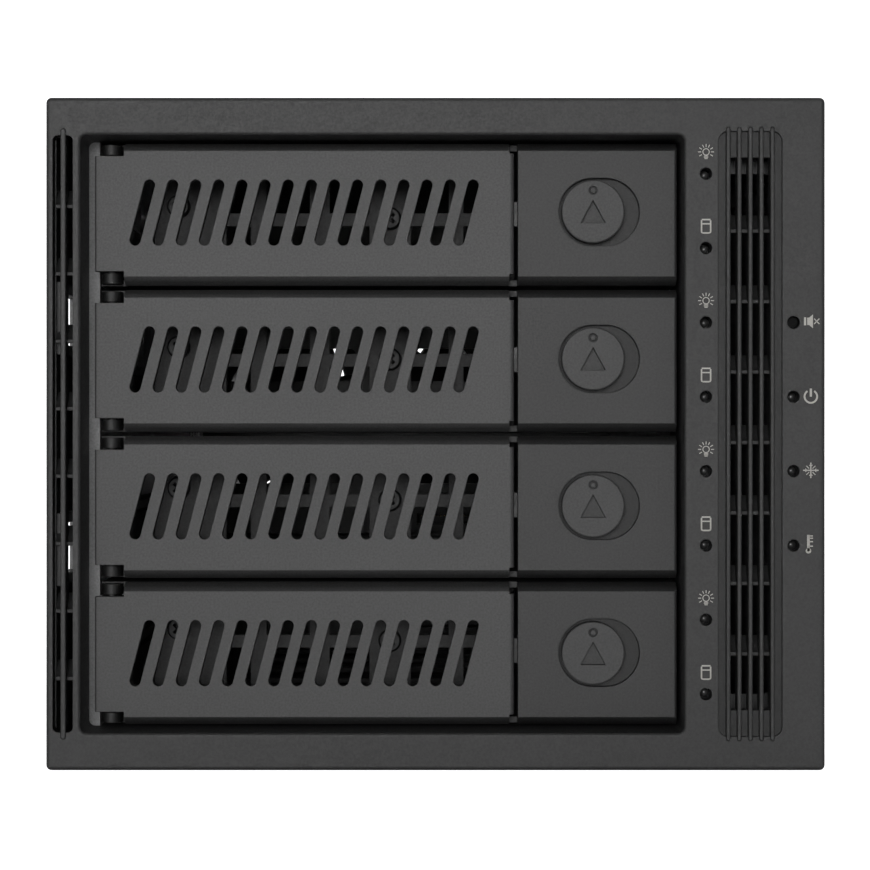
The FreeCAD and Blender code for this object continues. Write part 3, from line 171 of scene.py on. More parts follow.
def make_lights():
    bezel_middle = ((bezel_left + bezel_right) / 2 * MM, face_y * MM, stack_z * MM)
    area_light("front_light", bezel_middle, *FRONT_LIGHT)
    area_light("top_light", (0, 0, 0), *TOP_LIGHT)
    area_light("rear_light", REAR_AIM, *REAR_LIGHT)
    world = bpy.data.worlds.new("studio_air")
    world.use_nodes = True
    air = world.node_tree.nodes["Background"]
    air.inputs["Color"].default_value = (1, 1, 1, 1)
    air.inputs["Strength"].default_value = AIR_GLOW
    bpy.context.scene.world = world
    bpy.context.scene.view_settings.view_transform = "Standard"


# Materials
def blank_material(name):
    """A material with one Principled shader: (material, node tree, shader)."""
    made = bpy.data.materials.new(name)
    made.use_nodes = True
    tree = made.node_tree
    tree.nodes.clear()
    output = tree.nodes.new("ShaderNodeOutputMaterial")
    shader = tree.nodes.new("ShaderNodeBsdfPrincipled")
    tree.links.new(shader.outputs["BSDF"], output.inputs["Surface"])
    return made, tree, shader


def noise(tree, size_mm, detail=2.0, stretch=(1.0, 1.0, 1.0)):
    """Noise from 0 to 1 whose lumps are about size_mm across."""
    place = tree.nodes.new("ShaderNodeTexCoord")
    mapping = tree.nodes.new("ShaderNodeMapping")
    mapping.inputs["Scale"].default_value = stretch
    texture = tree.nodes.new("ShaderNodeTexNoise")
    texture.inputs["Scale"].default_value = 1 / (size_mm * MM)
    texture.inputs["Detail"].default_value = detail
    tree.links.new(place.outputs["Object"], mapping.inputs["Vector"])
    tree.links.new(mapping.outputs["Vector"], texture.inputs["Vector"])
    return texture.outputs["Fac"]


def remap(tree, source, from_range, to_range):
    node = tree.nodes.new("ShaderNodeMapRange")
    node.inputs["From Min"].default_value, node.inputs["From Max"].default_value = from_range
    node.inputs["To Min"].default_value, node.inputs["To Max"].default_value = to_range
    tree.links.new(source, node.inputs["Value"])
    return node.outputs["Result"]


def blend_colours(tree, factor, first, second):
    """Mix of two colours, each a tuple or a socket."""
    node = tree.nodes.new("ShaderNodeMix")
    node.data_type = "RGBA"
    tree.links.new(factor, node.inputs["Factor"])
    for value, socket in ((first, node.inputs[6]), (second, node.inputs[7])):
        if isinstance(value, bpy.types.NodeSocket):
            tree.links.new(value, socket)
        else:
            socket.default_value = (*value, 1.0)
    return node.outputs[2]


def layered(tree, mask, limits, strength, first, second):
    """Second colour over the first, up to a strength where the mask runs from one limit to the other."""
    return blend_colours(tree, remap(tree, mask, limits, (0.0, strength)), first, second)


def combined(tree, operation, first, second):
    node = tree.nodes.new("ShaderNodeMath")
    node.operation = operation
    tree.links.new(first, node.inputs[0])
    tree.links.new(second, node.inputs[1])
    return node.outputs[0]


def edge_round(tree, radius_mm):
    """Normal of softly rounded edges, and a mask that is 1 on them."""
    bevel = tree.nodes.new("ShaderNodeBevel")
    bevel.samples = 6
    bevel.inputs["Radius"].default_value = radius_mm * MM
    surface = tree.nodes.new("ShaderNodeNewGeometry")
    dot = tree.nodes.new("ShaderNodeVectorMath")
    dot.operation = "DOT_PRODUCT"
    tree.links.new(bevel.outputs["Normal"], dot.inputs[0])
    tree.links.new(surface.outputs["Normal"], dot.inputs[1])
    return bevel.outputs["Normal"], remap(tree, dot.outputs["Value"], (0.995, 0.8), (0.0, 1.0))


def bump(tree, shader, height, depth_mm, strength, normal=None):
    node = tree.nodes.new("ShaderNodeBump")
    node.inputs["Strength"].default_value = strength
    node.inputs["Distance"].default_value = depth_mm * MM
    tree.links.new(height, node.inputs["Height"])
    if normal is not None:
        tree.links.new(normal, node.inputs["Normal"])
    tree.links.new(node.outputs["Normal"], shader.inputs["Normal"])


def scaled(colour, factor):
    return tuple(min(1.0, part * factor) for part in colour)


SIDE_REACH = 100.0
DEPTH_REACH = 30.0
POCKET_FADE = 1.0
EDGE_FADE = 0.2
DEPTH_FADE = 0.1


def place_parts(tree):
    """X and depth behind the bezel's front, in millimetres, from the object's own coordinates."""
    place = tree.nodes.new("ShaderNodeTexCoord")
    parts = tree.nodes.new("ShaderNodeSeparateXYZ")
    tree.links.new(place.outputs["Object"], parts.inputs["Vector"])
    sides = (-SIDE_REACH * MM, SIDE_REACH * MM)
    across = remap(tree, parts.outputs["X"], sides, (-SIDE_REACH, SIDE_REACH))
    depths = (face_y * MM, (face_y + DEPTH_REACH) * MM)
    depth = remap(tree, parts.outputs["Y"], depths, (0, DEPTH_REACH))
    return across, depth


def toned(tree, colour, factor):
    """Colour times a number."""
    node = tree.nodes.new("ShaderNodeVectorMath")
    node.operation = "SCALE"
    tree.links.new(colour, node.inputs[0])
    tree.links.new(factor, node.inputs["Scale"])
    return node.outputs[0]


def painted_pocket_shade(tree, start, full, end, low):
    """Factor that falls to low between two depths, and is 1 again past end: painted shade in pockets."""
    _, depth = place_parts(tree)
    fall = remap(tree, depth, (start, full), (1.0, low))
    rise = remap(tree, depth, (end, end + POCKET_FADE), (0.0, 1.0 - low))
    return combined(tree, "ADD", fall, rise)


def painted_left_tone(tree, edge, start, gain):
    """Factor of 1 that goes to gain left of an X and behind a depth: painted light where gain is above 1,
    painted shade where it is below.
    """
    across, depth = place_parts(tree)
    inside = remap(tree, across, (edge, edge - EDGE_FADE), (0.0, 1.0))
    behind = remap(tree, depth, (start, start + DEPTH_FADE), (0.0, 1.0))
    return remap(tree, combined(tree, "MULTIPLY", inside, behind), (0.0, 1.0), (1.0, gain))


def moulded_plastic(name, colour, roughness=0.55, grain=0.4, depth=0.02, strength=0.35, edge=0.22,
                    wear=1.35, painted_tones=(), shine=0.45):
    """Spark-eroded plastic: fine grain, faint cloudiness, edges polished a little by handling, and painted
    light and shade from its tones.
    """
    made, tree, shader = blank_material(name)
    clouds = noise(tree, 30.0, 3.0)
    fine = noise(tree, grain, 2.0)
    normal, rim = edge_round(tree, edge)
    body = layered(tree, clouds, (0.3, 0.7), 1.0, scaled(colour, 0.95), scaled(colour, 1.05))
    speckled = layered(tree, fine, (0.35, 0.7), 0.5, body, scaled(colour, 0.55))
    worn = layered(tree, rim, (0.0, 1.0), 0.6, speckled, scaled(colour, wear))
    # Each tone multiplies the colour: painted shade in pockets and recesses, painted light on the ledge by
    # the lever heel
    for maker, *values in painted_tones:
        worn = toned(tree, worn, maker(tree, *values))
    tree.links.new(worn, shader.inputs["Base Color"])
    rough = remap(tree, fine, (0.3, 0.7), (roughness - 0.05, roughness + 0.07))
    smoother = remap(tree, rim, (0.0, 1.0), (0.0, -0.12))
    tree.links.new(combined(tree, "ADD", rough, smoother), shader.inputs["Roughness"])
    bump(tree, shader, fine, depth, strength, normal)
    shader.inputs["Specular IOR Level"].default_value = shine
    return made


def powder_coat(name, colour, roughness=0.42):
    """Powder coat on sheet steel: orange peel with a fine glitter of grain and brighter folds."""
    made, tree, shader = blank_material(name)
    peel = noise(tree, 1.1, 2.0)
    fine = noise(tree, 0.35, 2.0)
    clouds = noise(tree, 45.0, 2.0)
    normal, rim = edge_round(tree, 0.3)
    body = layered(tree, clouds, (0.3, 0.7), 1.0, scaled(colour, 0.9), scaled(colour, 1.1))
    flecked = layered(tree, fine, (0.62, 0.72), 0.35, body, scaled(colour, 1.9))
    worn = layered(tree, rim, (0.0, 1.0), 0.5, flecked, scaled(colour, 1.7))
    tree.links.new(worn, shader.inputs["Base Color"])
    rough = remap(tree, peel, (0.3, 0.7), (roughness - 0.06, roughness + 0.08))
    tree.links.new(rough, shader.inputs["Roughness"])
    bump(tree, shader, combined(tree, "ADD", peel, fine), 0.04, 0.3, normal)
    return made


def plated_sheet(name, colour, roughness=0.34):
    """Zinc-plated sheet: rolling streaks, a faint spangle and dulled patches."""
    made, tree, shader = blank_material(name)
    shader.inputs["Metallic"].default_value = 1.0
    streaks = noise(tree, 0.5, 3.0, (1.0, 0.03, 1.0))
    patches = noise(tree, 14.0, 3.0)
    place = tree.nodes.new("ShaderNodeTexCoord")
    spangle = tree.nodes.new("ShaderNodeTexVoronoi")
    spangle.inputs["Scale"].default_value = 1 / (4.5 * MM)
    tree.links.new(place.outputs["Object"], spangle.inputs["Vector"])
    tone = tree.nodes.new("ShaderNodeSeparateColor")
    tree.links.new(spangle.outputs["Color"], tone.inputs["Color"])
    cells = layered(tree, tone.outputs[0], (0.0, 1.0), 1.0, scaled(colour, 0.9), scaled(colour, 1.06))
    dulled = layered(tree, patches, (0.45, 0.75), 0.5, cells, scaled(colour, 0.8))
    tree.links.new(dulled, shader.inputs["Base Color"])
    streaked = remap(tree, streaks, (0.2, 0.8), (roughness - 0.08, roughness + 0.1))
    rough = combined(tree, "ADD", streaked, remap(tree, patches, (0.3, 0.7), (0.0, 0.08)))
    tree.links.new(rough, shader.inputs["Roughness"])
    normal, _ = edge_round(tree, 0.2)
    bump(tree, shader, streaks, 0.01, 0.2, normal)
    return made


def machined_metal(name, colour, roughness=0.26, streak=(1.0, 1.0, 0.05)):
    """Turned or drawn metal with fine streaks along its work."""
    made, tree, shader = blank_material(name)
    shader.inputs["Metallic"].default_value = 1.0
    streaks = noise(tree, 0.25, 2.0, streak)
    patches = noise(tree, 2.5, 2.0)
    body = blend_colours(tree, patches, scaled(colour, 0.88), scaled(colour, 1.05))
    tree.links.new(body, shader.inputs["Base Color"])
    rough = remap(tree, streaks, (0.25, 0.75), (roughness - 0.07, roughness + 0.1))
    tree.links.new(rough, shader.inputs["Roughness"])
    normal, _ = edge_round(tree, 0.12)
    bump(tree, shader, streaks, 0.008, 0.25, normal)
    return made


def solder_mask(name, colour):
    """Solder mask over copper: buried planes show a little lighter and raised, under a fine weave."""
    made, tree, shader = blank_material(name)
    weave = noise(tree, 0.7, 1.0)
    planes = noise(tree, 16.0, 1.0)
    body = layered(tree, planes, (0.47, 0.5), 1.0, colour, scaled(colour, 1.6))
    grained = layered(tree, weave, (0.3, 0.7), 0.25, body, scaled(colour, 0.6))
    tree.links.new(grained, shader.inputs["Base Color"])
    tree.links.new(remap(tree, weave, (0.3, 0.7), (0.36, 0.44)), shader.inputs["Roughness"])
    raised = remap(tree, planes, (0.47, 0.5), (0.0, 1.0))
    bump(tree, shader, combined(tree, "ADD", weave, raised), 0.02, 0.08)
    shader.inputs["Coat Weight"].default_value = 0.1
    shader.inputs["Coat Roughness"].default_value = 0.12
    return made


def lens_plastic(name, colour):
    """Smoked epoxy of the small lights, with a faint haze inside."""
    made, tree, shader = blank_material(name)
    haze = noise(tree, 0.6, 2.0)
    body = blend_colours(tree, haze, scaled(colour, 0.8), scaled(colour, 1.2))
    tree.links.new(body, shader.inputs["Base Color"])
    tree.links.new(remap(tree, haze, (0.3, 0.7), (0.28, 0.4)), shader.inputs["Roughness"])
    shader.inputs["Coat Weight"].default_value = 0.4
    shader.inputs["Coat Roughness"].default_value = 0.2
    return made


def printed_ink(name, colour):
    """Pad-printed ink, a little thin and uneven."""
    made, tree, shader = blank_material(name)
    thin = noise(tree, 0.25, 3.0)
    body = layered(tree, thin, (0.35, 0.75), 0.5, colour, scaled(colour, 0.72))
    tree.links.new(body, shader.inputs["Base Color"])
    tree.links.new(remap(tree, thin, (0.3, 0.7), (0.5, 0.65)), shader.inputs["Roughness"])
    bump(tree, shader, thin, 0.01, 0.2)
    return made


def studio_paper(name):
    """Pale seamless paper that glows for the camera alone, so that the background is white."""
    made, tree, shader = blank_material(name)
    fibres = noise(tree, 6.0, 3.0)
    paper = blend_colours(tree, fibres, (0.9, 0.9, 0.9), (0.93, 0.93, 0.93))
    tree.links.new(paper, shader.inputs["Base Color"])
    shader.inputs["Roughness"].default_value = 0.8
    seen = tree.nodes.new("ShaderNodeLightPath")
    shader.inputs["Emission Color"].default_value = (1, 1, 1, 1)
    tree.links.new(seen.outputs["Is Camera Ray"], shader.inputs["Emission Strength"])
    return made


# Painted light and shade: a tone's maker and what it takes, places and depths in millimetres
# Painted light on the ledge left of the lever heel, deep in the bay
PAINTED_HEEL_STRIP_LIGHT = (painted_left_tone, -64.6, 10.4, 11.0)
# Painted shade on the floor of the bezel's vent recesses
PAINTED_VENT_SHADE = (painted_pocket_shade, 0.7, 0.79, 1.2, 0.2)
# Painted shade in the recess round the lock disc and on the back of the tray bevels
PAINTED_RECESS_SHADE = (painted_pocket_shade, 5.4, 6.5, 14.0, 0.25)
# Painted shade on the hinge ears in the notch left of each lever
PAINTED_HINGE_SHADE = (painted_left_tone, -60.0, 5.6, 0.3)
# Painted shade on the back part of the lever bevels
PAINTED_LEVER_EDGE_SHADE = (painted_pocket_shade, 5.3, 6.4, 14.0, 0.35)
# Painted shade in the index ring and key socket of the lock disc
PAINTED_KEY_SHADE = (painted_pocket_shade, 4.05, 4.3, 4.45, 0.1)

BEZEL_GREY = (0.0218, 0.0218, 0.022)
TRAY_GREY = (0.0252, 0.0252, 0.0254)
LEVER_GREY = (0.0485, 0.0485, 0.0487)
SLIDER_GREY = (0.012, 0.012, 0.0122)
RAIL_GREY = (0.03, 0.03, 0.031)
BUTTON_GREY = (0.04, 0.04, 0.0402)
RUBBER_BLACK = (0.004, 0.004, 0.0041)
PORT_IVORY = (0.62, 0.6, 0.53)

materials = {
    "bezel_plastic": moulded_plastic("bezel_plastic", BEZEL_GREY, painted_tones=(PAINTED_HEEL_STRIP_LIGHT, PAINTED_VENT_SHADE)),
    "tray_plastic": moulded_plastic("tray_plastic", TRAY_GREY, painted_tones=(PAINTED_RECESS_SHADE, PAINTED_HINGE_SHADE)),
    "lever_plastic": moulded_plastic("lever_plastic", LEVER_GREY, painted_tones=(PAINTED_LEVER_EDGE_SHADE,)),
    "button_plastic": moulded_plastic("button_plastic", BUTTON_GREY, painted_tones=(PAINTED_KEY_SHADE,)),
    "slider_plastic": moulded_plastic("slider_plastic", SLIDER_GREY, 0.4, 0.8, 0.01, 0.2),
    "rail_plastic": moulded_plastic("rail_plastic", RAIL_GREY, 0.42, 0.8, 0.01, 0.2),
    "fan_plastic": moulded_plastic("fan_plastic", (0.02, 0.02, 0.021), 0.38, 0.9, 0.012, 0.2, 0.3, 2.0),
    "socket_plastic": moulded_plastic("socket_plastic", (0.022, 0.022, 0.023), 0.45, 0.5, 0.01, 0.2, 0.15),
    "port_plastic": moulded_plastic("port_plastic", PORT_IVORY, 0.42, 0.6, 0.01, 0.15, 0.2, 1.05),
    "component_plastic": moulded_plastic("component_plastic", (0.02, 0.02, 0.022), 0.4, 0.3, 0.01, 0.2,
                                         0.15, 1.8),
    "board_laminate": solder_mask("board_laminate", (0.008, 0.0085, 0.009)),
    "cage_paint": powder_coat("cage_paint", (0.022, 0.022, 0.0225)),
    "plated_steel": plated_sheet("plated_steel", (0.56, 0.57, 0.58)),
    "screw_steel": machined_metal("screw_steel", (0.5, 0.5, 0.51)),
    "black_screw": powder_coat("black_screw", (0.012, 0.012, 0.0122), 0.5),
    "pin_steel": machined_metal("pin_steel", (0.58, 0.58, 0.58)),
    "spring_steel": machined_metal("spring_steel", (0.42, 0.42, 0.43)),
    "guard_chrome": machined_metal("guard_chrome", (0.72, 0.72, 0.73), 0.14),
    "button_rubber": moulded_plastic("button_rubber", RUBBER_BLACK, roughness=0.8, shine=0.2),
    "sled_paint": powder_coat("sled_paint", (0.014, 0.014, 0.0142), 0.62),
    "led_lens": lens_plastic("led_lens", (0.03, 0.03, 0.03)),
}
ink = printed_ink("sign_ink", (0.39, 0.38, 0.352))
board_ink = printed_ink("board_ink", (0.7, 0.7, 0.68))
gold = machined_metal("contact_gold", (0.72, 0.5, 0.2), 0.22)
foil = machined_metal("foil", (0.55, 0.55, 0.56), 0.34, (1.0, 1.0, 1.0))
ceramic = moulded_plastic("ceramic", (0.2, 0.15, 0.1), 0.5, 0.5, 0.01, 0.2, 0.1, 1.1)

# Nodes that look other than their slot does, without the number at the end of the name
OWN_FINISH = {
    "lever": "lever_plastic",
    "lever_pin": "black_screw",
    "tray_sled": "sled_paint",
    "mute_button": "button_rubber",
}


def dress_nodes():
    """Gives every CAD node its material."""
    for entry in frame["record"]["subparts"]:
        stem = entry["node"].rstrip("1234").rstrip("_")
        finish = OWN_FINISH.get(stem, entry["material_slot"])
        for slot in frame["nodes"][entry["node"]].material_slots:
            slot.material = materials[finish]


# Building of extra pieces
def piece_from(shape, name, material, body):
    """Turns a bmesh in millimetres into an object that rides on a body, if one is given."""
    bmesh.ops.remove_doubles(shape, verts=shape.verts, dist=1e-5)
    bmesh.ops.recalc_face_normals(shape, faces=shape.faces)
    for vertex in shape.verts:
        vertex.co *= MM
    mesh = bpy.data.meshes.new(name)
    shape.to_mesh(mesh)
    shape.free()
    mesh.materials.append(material)
    piece = bpy.data.objects.new(name, mesh)
    bpy.context.scene.collection.objects.link(piece)
    if body:
        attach(piece, body)
    return piece


def plate(shape, outline, y0, y1):
    """Flat solid from an outline of (x, z) points, between two Y."""
    front = [shape.verts.new((x, y0, z)) for x, z in outline]
    back = [shape.verts.new((x, y1, z)) for x, z in outline]
    shape.faces.new(front)
    shape.faces.new(list(reversed(back)))
    count = len(outline)
    for index in range(count):
        after = (index + 1) % count
        shape.faces.new((front[index], back[index], back[after], front[after]))


def bar(a, b, width):
    """Outline of a straight stroke between two points."""
    along = (Vector(b) - Vector(a)).normalized() * (width / 2)
    side = Vector((-along.y, along.x))
    ends = (Vector(a) - side, Vector(b) - side, Vector(b) + side, Vector(a) + side)
    return [tuple(point) for point in ends]


def arc_band(shape, centre, radius, width, start, end, y0, y1, steps=32):
    """Ring or part of a ring, made of short quads side by side."""
    outer = radius + width
    for step in range(steps):
        corners = []
        for turn, reach in ((step, radius), (step + 1, radius), (step + 1, outer), (step, outer)):
            angle = math.radians(start + (end - start) * turn / steps)
            corners.append((centre[0] + reach * math.cos(angle), centre[1] + reach * math.sin(angle)))
        plate(shape, corners, y0, y1)


def bridge(shape, rings):
    """Skin over a row of rings, closed at both ends."""
    for first, second in zip(rings, rings[1:]):
        for index in range(len(first)):
            after = (index + 1) % len(first)
            shape.faces.new((first[index], first[after], second[after], second[index]))
    shape.faces.new(rings[0])
    shape.faces.new(list(reversed(rings[-1])))


# Fasteners
def axes_round(axis):
    """Two directions square to an axis and to each other."""
    axis = Vector(axis).normalized()
    first = axis.orthogonal().normalized()
    return first, axis.cross(first), axis


def lathe(shape, origin, axis, profile, segments=32):
    """Turned form: (radius, distance along the axis) points swept round; returns its rings."""
    first, second, axis = axes_round(axis)
    rings = []
    for radius, along in profile:
        centre = Vector(origin) + axis * along
        if radius == 0:
            rings.append([shape.verts.new(centre)])
            continue
        ring = []
        for index in range(segments):
            angle = 2 * math.pi * index / segments
            outward = first * math.cos(angle) + second * math.sin(angle)
            ring.append(shape.verts.new(centre + outward * radius))
        rings.append(ring)
    for low, high in zip(rings, rings[1:]):
        for index in range(segments):
            after = (index + 1) % segments
            corners = [low[index % len(low)], low[after % len(low)]]
            corners += [high[after % len(high)], high[index % len(high)]]
            shape.faces.new(list(dict.fromkeys(corners)))
    return rings


RECESS_TAPER = 0.6


def cross_head(shape, origin, axis, radius, height, reach, half_width, depth):
    """Screw head with a crowned edge and a tapered cross recess."""
    profile = [(radius * 0.5, 0), (radius * 0.98, 0), (radius, height * 0.15), (radius, height * 0.4),
               (radius * 0.95, height * 0.72), (radius * 0.84, height)]
    top = lathe(shape, origin, axis, profile)[-1]
    first, second, axis = axes_round(axis)
    a, b = reach, half_width
    outline = [(b, b), (b, a), (-b, a), (-b, b), (-a, b), (-a, -b)]
    outline += [(-b, -b), (-b, -a), (b, -a), (b, -b), (a, -b), (a, b)]
    rim = []
    floor = []
    for u, v in outline:
        place = Vector(origin) + axis * height
        out = first * u + second * v
        rim.append(shape.verts.new(place + out))
        floor.append(shape.verts.new(place - axis * depth + out * RECESS_TAPER))
    loops = []
    for ring in (top, rim):
        for index in range(len(ring)):
            pair = (ring[index], ring[(index + 1) % len(ring)])
            loops.append(shape.edges.get(pair) or shape.edges.new(pair))
    bmesh.ops.triangle_fill(shape, use_beauty=True, edges=loops)
    count = len(rim)
    for index in range(count):
        after = (index + 1) % count
        shape.faces.new((rim[index], rim[after], floor[after], floor[index]))
    shape.faces.new(floor)


def thread(shape, origin, axis, radius, length, pitch=0.5):
    """Threaded shank, its ridges drawn as rings."""
    profile = [(radius * 0.9, 0)]
    along = pitch / 2
    while along < length - pitch:
        profile += [(radius, along), (radius * 0.86, along + pitch / 2)]
        along += pitch
    profile += [(radius * 0.7, length), (0, length)]
    lathe(shape, origin, axis, profile, 20)


def screw_group(name, places, body, finish, nodes, sizes):
    """Screws that take the place of one CAD node; a place is (point, axis out of the head)."""
    radius, height, recess, shank, length = sizes
    shape = bmesh.new()
    for point, axis in places:
        cross_head(shape, point, axis, radius, height, *recess)
        thread(shape, point, -Vector(axis), shank, length)
    piece = piece_from(shape, name, materials[finish], body)
    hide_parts(*nodes)


# Screw sizes: head radius and height, (reach, half width, depth) of the recess, shank radius and length
WAFER_SCREW = (2.7, 0.45, (1.35, 0.34, 1.0), 1.44, 3.4)
FAN_SCREW = (3.6, 1.6, (1.9, 0.45, 1.2), 2.0, 11.0)
BOARD_SCREW = (2.3, 1.5, (1.2, 0.3, 1.0), 1.42, 4.2)
TRAY_SCREW = (2.3, 1.5, (1.2, 0.3, 1.0), 1.42, 3.0)
CAGE_HALF = 73.0
COVER_TOP = 126.4
COVER_SCREW_Z = 121.4
SIDE_SCREW_DEPTHS = (45.0, 195.0)
REAR_SCREW_DEPTH = 215.5
REAR_SCREW_RISE = 38.0
TOP_SCREW_XS = (-63.9, 43.9)
TOP_SCREW_DEPTHS = (60.0, 150.0)
BOARD_FACE = 182.3
BOARD_BACK = 183.9
BOARD_SCREW_X = 66.0
BOARD_SCREW_RISE = 48.5
FAN_X = -22.0
FAN_BACK = 220.5
FAN_SCREW_SPACING = 35.75
GUARD_BACK = 223.1
GRILLE_FACE = 23.6
TRAY_SCREW_PLACES = ((-51.2, 3.3), (-9.1, 0.9))


def at(x, depth, z):
    return Vector((x, face_y + depth, z))


def make_screws():
    case = []
    for side in (-1, 1):
        for depth in SIDE_SCREW_DEPTHS:
            case.append((at(side * CAGE_HALF, depth, COVER_SCREW_Z), (side, 0, 0)))
        for sign in (-1, 1):
            place = at(side * CAGE_HALF, REAR_SCREW_DEPTH, stack_z + sign * REAR_SCREW_RISE)
            case.append((place, (side, 0, 0)))
    for x in TOP_SCREW_XS:
        for depth in TOP_SCREW_DEPTHS:
            case.append((at(x, depth, COVER_TOP), (0, 0, 1)))
    screw_group("case_wafer_screws", case, "cage", "screw_steel", ["case_screws"], WAFER_SCREW)
    fan = []
    for a in (-1, 1):
        for b in (-1, 1):
            place = at(FAN_X + a * FAN_SCREW_SPACING, GUARD_BACK, stack_z + b * FAN_SCREW_SPACING)
            fan.append((place, (0, 1, 0)))
    screw_group("fan_pan_screws", fan, "cage", "screw_steel", ["fan_screws"], FAN_SCREW)
    board = []
    for side in (-1, 1):
        for rise in (-BOARD_SCREW_RISE, 0.0, BOARD_SCREW_RISE):
            board.append((at(side * BOARD_SCREW_X, BOARD_FACE, stack_z + rise), (0, -1, 0)))
    screw_group("board_pan_screws", board, "cage", "screw_steel", ["board_screws"], BOARD_SCREW)
    for tray in range(TRAY_COUNT):
        number = tray + 1
        places = []
        for x, rise in TRAY_SCREW_PLACES:
            places.append((at(x, GRILLE_FACE, tray_z(tray) + rise), (0, -1, 0)))
        screw_group("tray_pan_screws_%d" % number, places, "tray_%d" % number, "black_screw",
                    ["tray_screws_%d" % number], TRAY_SCREW)


# Small parts on the boards
def bevelled_block(shape, low, high, chamfer):
    """Block between two corners, chamfered all round."""
    made = bmesh.ops.create_cube(shape, size=1.0)["verts"]
    low = Vector(low)
    high = Vector(high)
    for vertex in made:
        vertex.co = Vector([low[k] + (vertex.co[k] + 0.5) * (high[k] - low[k]) for k in range(3)])
    edges = list({edge for vertex in made for edge in vertex.link_edges})
    bmesh.ops.bevel(shape, geom=edges, offset=chamfer, segments=2, profile=0.6, affect="EDGES")


def depth_block(shape, x0, x1, t0, t1, z0, z1, chamfer=0.05):
    """Chamfered block between two X, two depths and two Z."""
    low = at(min(x0, x1), min(t0, t1), min(z0, z1))
    high = at(max(x0, x1), max(t0, t1), max(z0, z1))
    bevelled_block(shape, low, high, chamfer)


SOCKET_DROP = 8.8
SOCKET_FRONT = 174.3
CONTACT_PITCH = 1.27
POWER_CONTACTS = 15
DATA_CONTACTS = 7
SOCKET_POWER_X = -3.8
SOCKET_DATA_X = 23.7
BLADE_HALF = 0.6
PORT_X = 35.1
PORT_BACK = 191.5
CONTACT_ROWS = ((SOCKET_POWER_X, POWER_CONTACTS), (SOCKET_DATA_X, DATA_CONTACTS))
JOINT_STAGGER = 1.8
JOINT_PROFILE = [(0.55, -0.01), (0.5, 0.12), (0.3, 0.45), (0.2, 0.7), (0, 0.72)]


def make_contacts():
    """Spring contacts on the blades of the drive sockets and the data ports."""
    sockets = bmesh.new()
    ports = bmesh.new()
    for tray in range(TRAY_COUNT):
        z = tray_z(tray) - SOCKET_DROP
        for first, count in CONTACT_ROWS:
            for index in range(count):
                x = first + index * CONTACT_PITCH
                start = 1.8 if index % 3 == 1 else 2.3
                depth_block(sockets, x - 0.32, x + 0.32, SOCKET_FRONT + start, SOCKET_FRONT + 6.0,
                            z + BLADE_HALF - 0.05, z + BLADE_HALF + 0.12, 0.04)
        for index in range(DATA_CONTACTS):
            x = PORT_X + 0.9 + index * CONTACT_PITCH * 0.96
            depth_block(ports, x - 0.3, x + 0.3, PORT_BACK - 5.4, PORT_BACK - 1.6,
                        tray_z(tray) - BLADE_HALF - 0.12, tray_z(tray) - BLADE_HALF + 0.05, 0.04)
    piece_from(sockets, "socket_contacts", gold, "cage")
    piece_from(ports, "port_contacts", gold, "cage")


POWER_X = 57.7
POWER_RISE = 26.0
POWER_PIN_PITCH = 5.08
POWER_PIN_RADIUS = 1.05
POWER_PIN_END = 193.9


def make_pin_sleeves():
    """Split metal sleeves over the pins of the two power ports."""
    shape = bmesh.new()
    radius = POWER_PIN_RADIUS
    profile = [(radius + 0.02, 0), (radius + 0.09, 0.1), (radius + 0.09, 7.2), (radius + 0.02, 8.3),
               (radius * 0.72, 8.95), (radius * 0.55, 9.0), (radius * 0.5, 8.4), (0, 8.4)]
    for sign in (-1, 1):
        for pin in range(4):
            z = stack_z + sign * POWER_RISE + (pin - 1.5) * POWER_PIN_PITCH
            lathe(shape, at(POWER_X, POWER_PIN_END - 8.8, z), (0, 1, 0), profile, 24)
    piece_from(shape, "power_pin_sleeves", materials["pin_steel"], "cage")


CHIP_PLACES = ((24.0, 63.5), (24.0, 79.0))
CHIP_HALF = 4.5
CHIP_LEGS = 8
LEG_HALF = 0.19
CAPACITOR_PLACES = ((-60.0, 40.0), (-60.0, 52.0), (24.0, 108.0), (24.0, 96.0))
CAPACITOR_TOP = BOARD_BACK + 7.4
CAPACITOR_PROFILE = [(2.45, -0.05), (2.4, 0.02), (2.3, 0.04), (0, 0.04)]
SCORE_REACH = 1.9
SCORE_WIDTH = 0.22


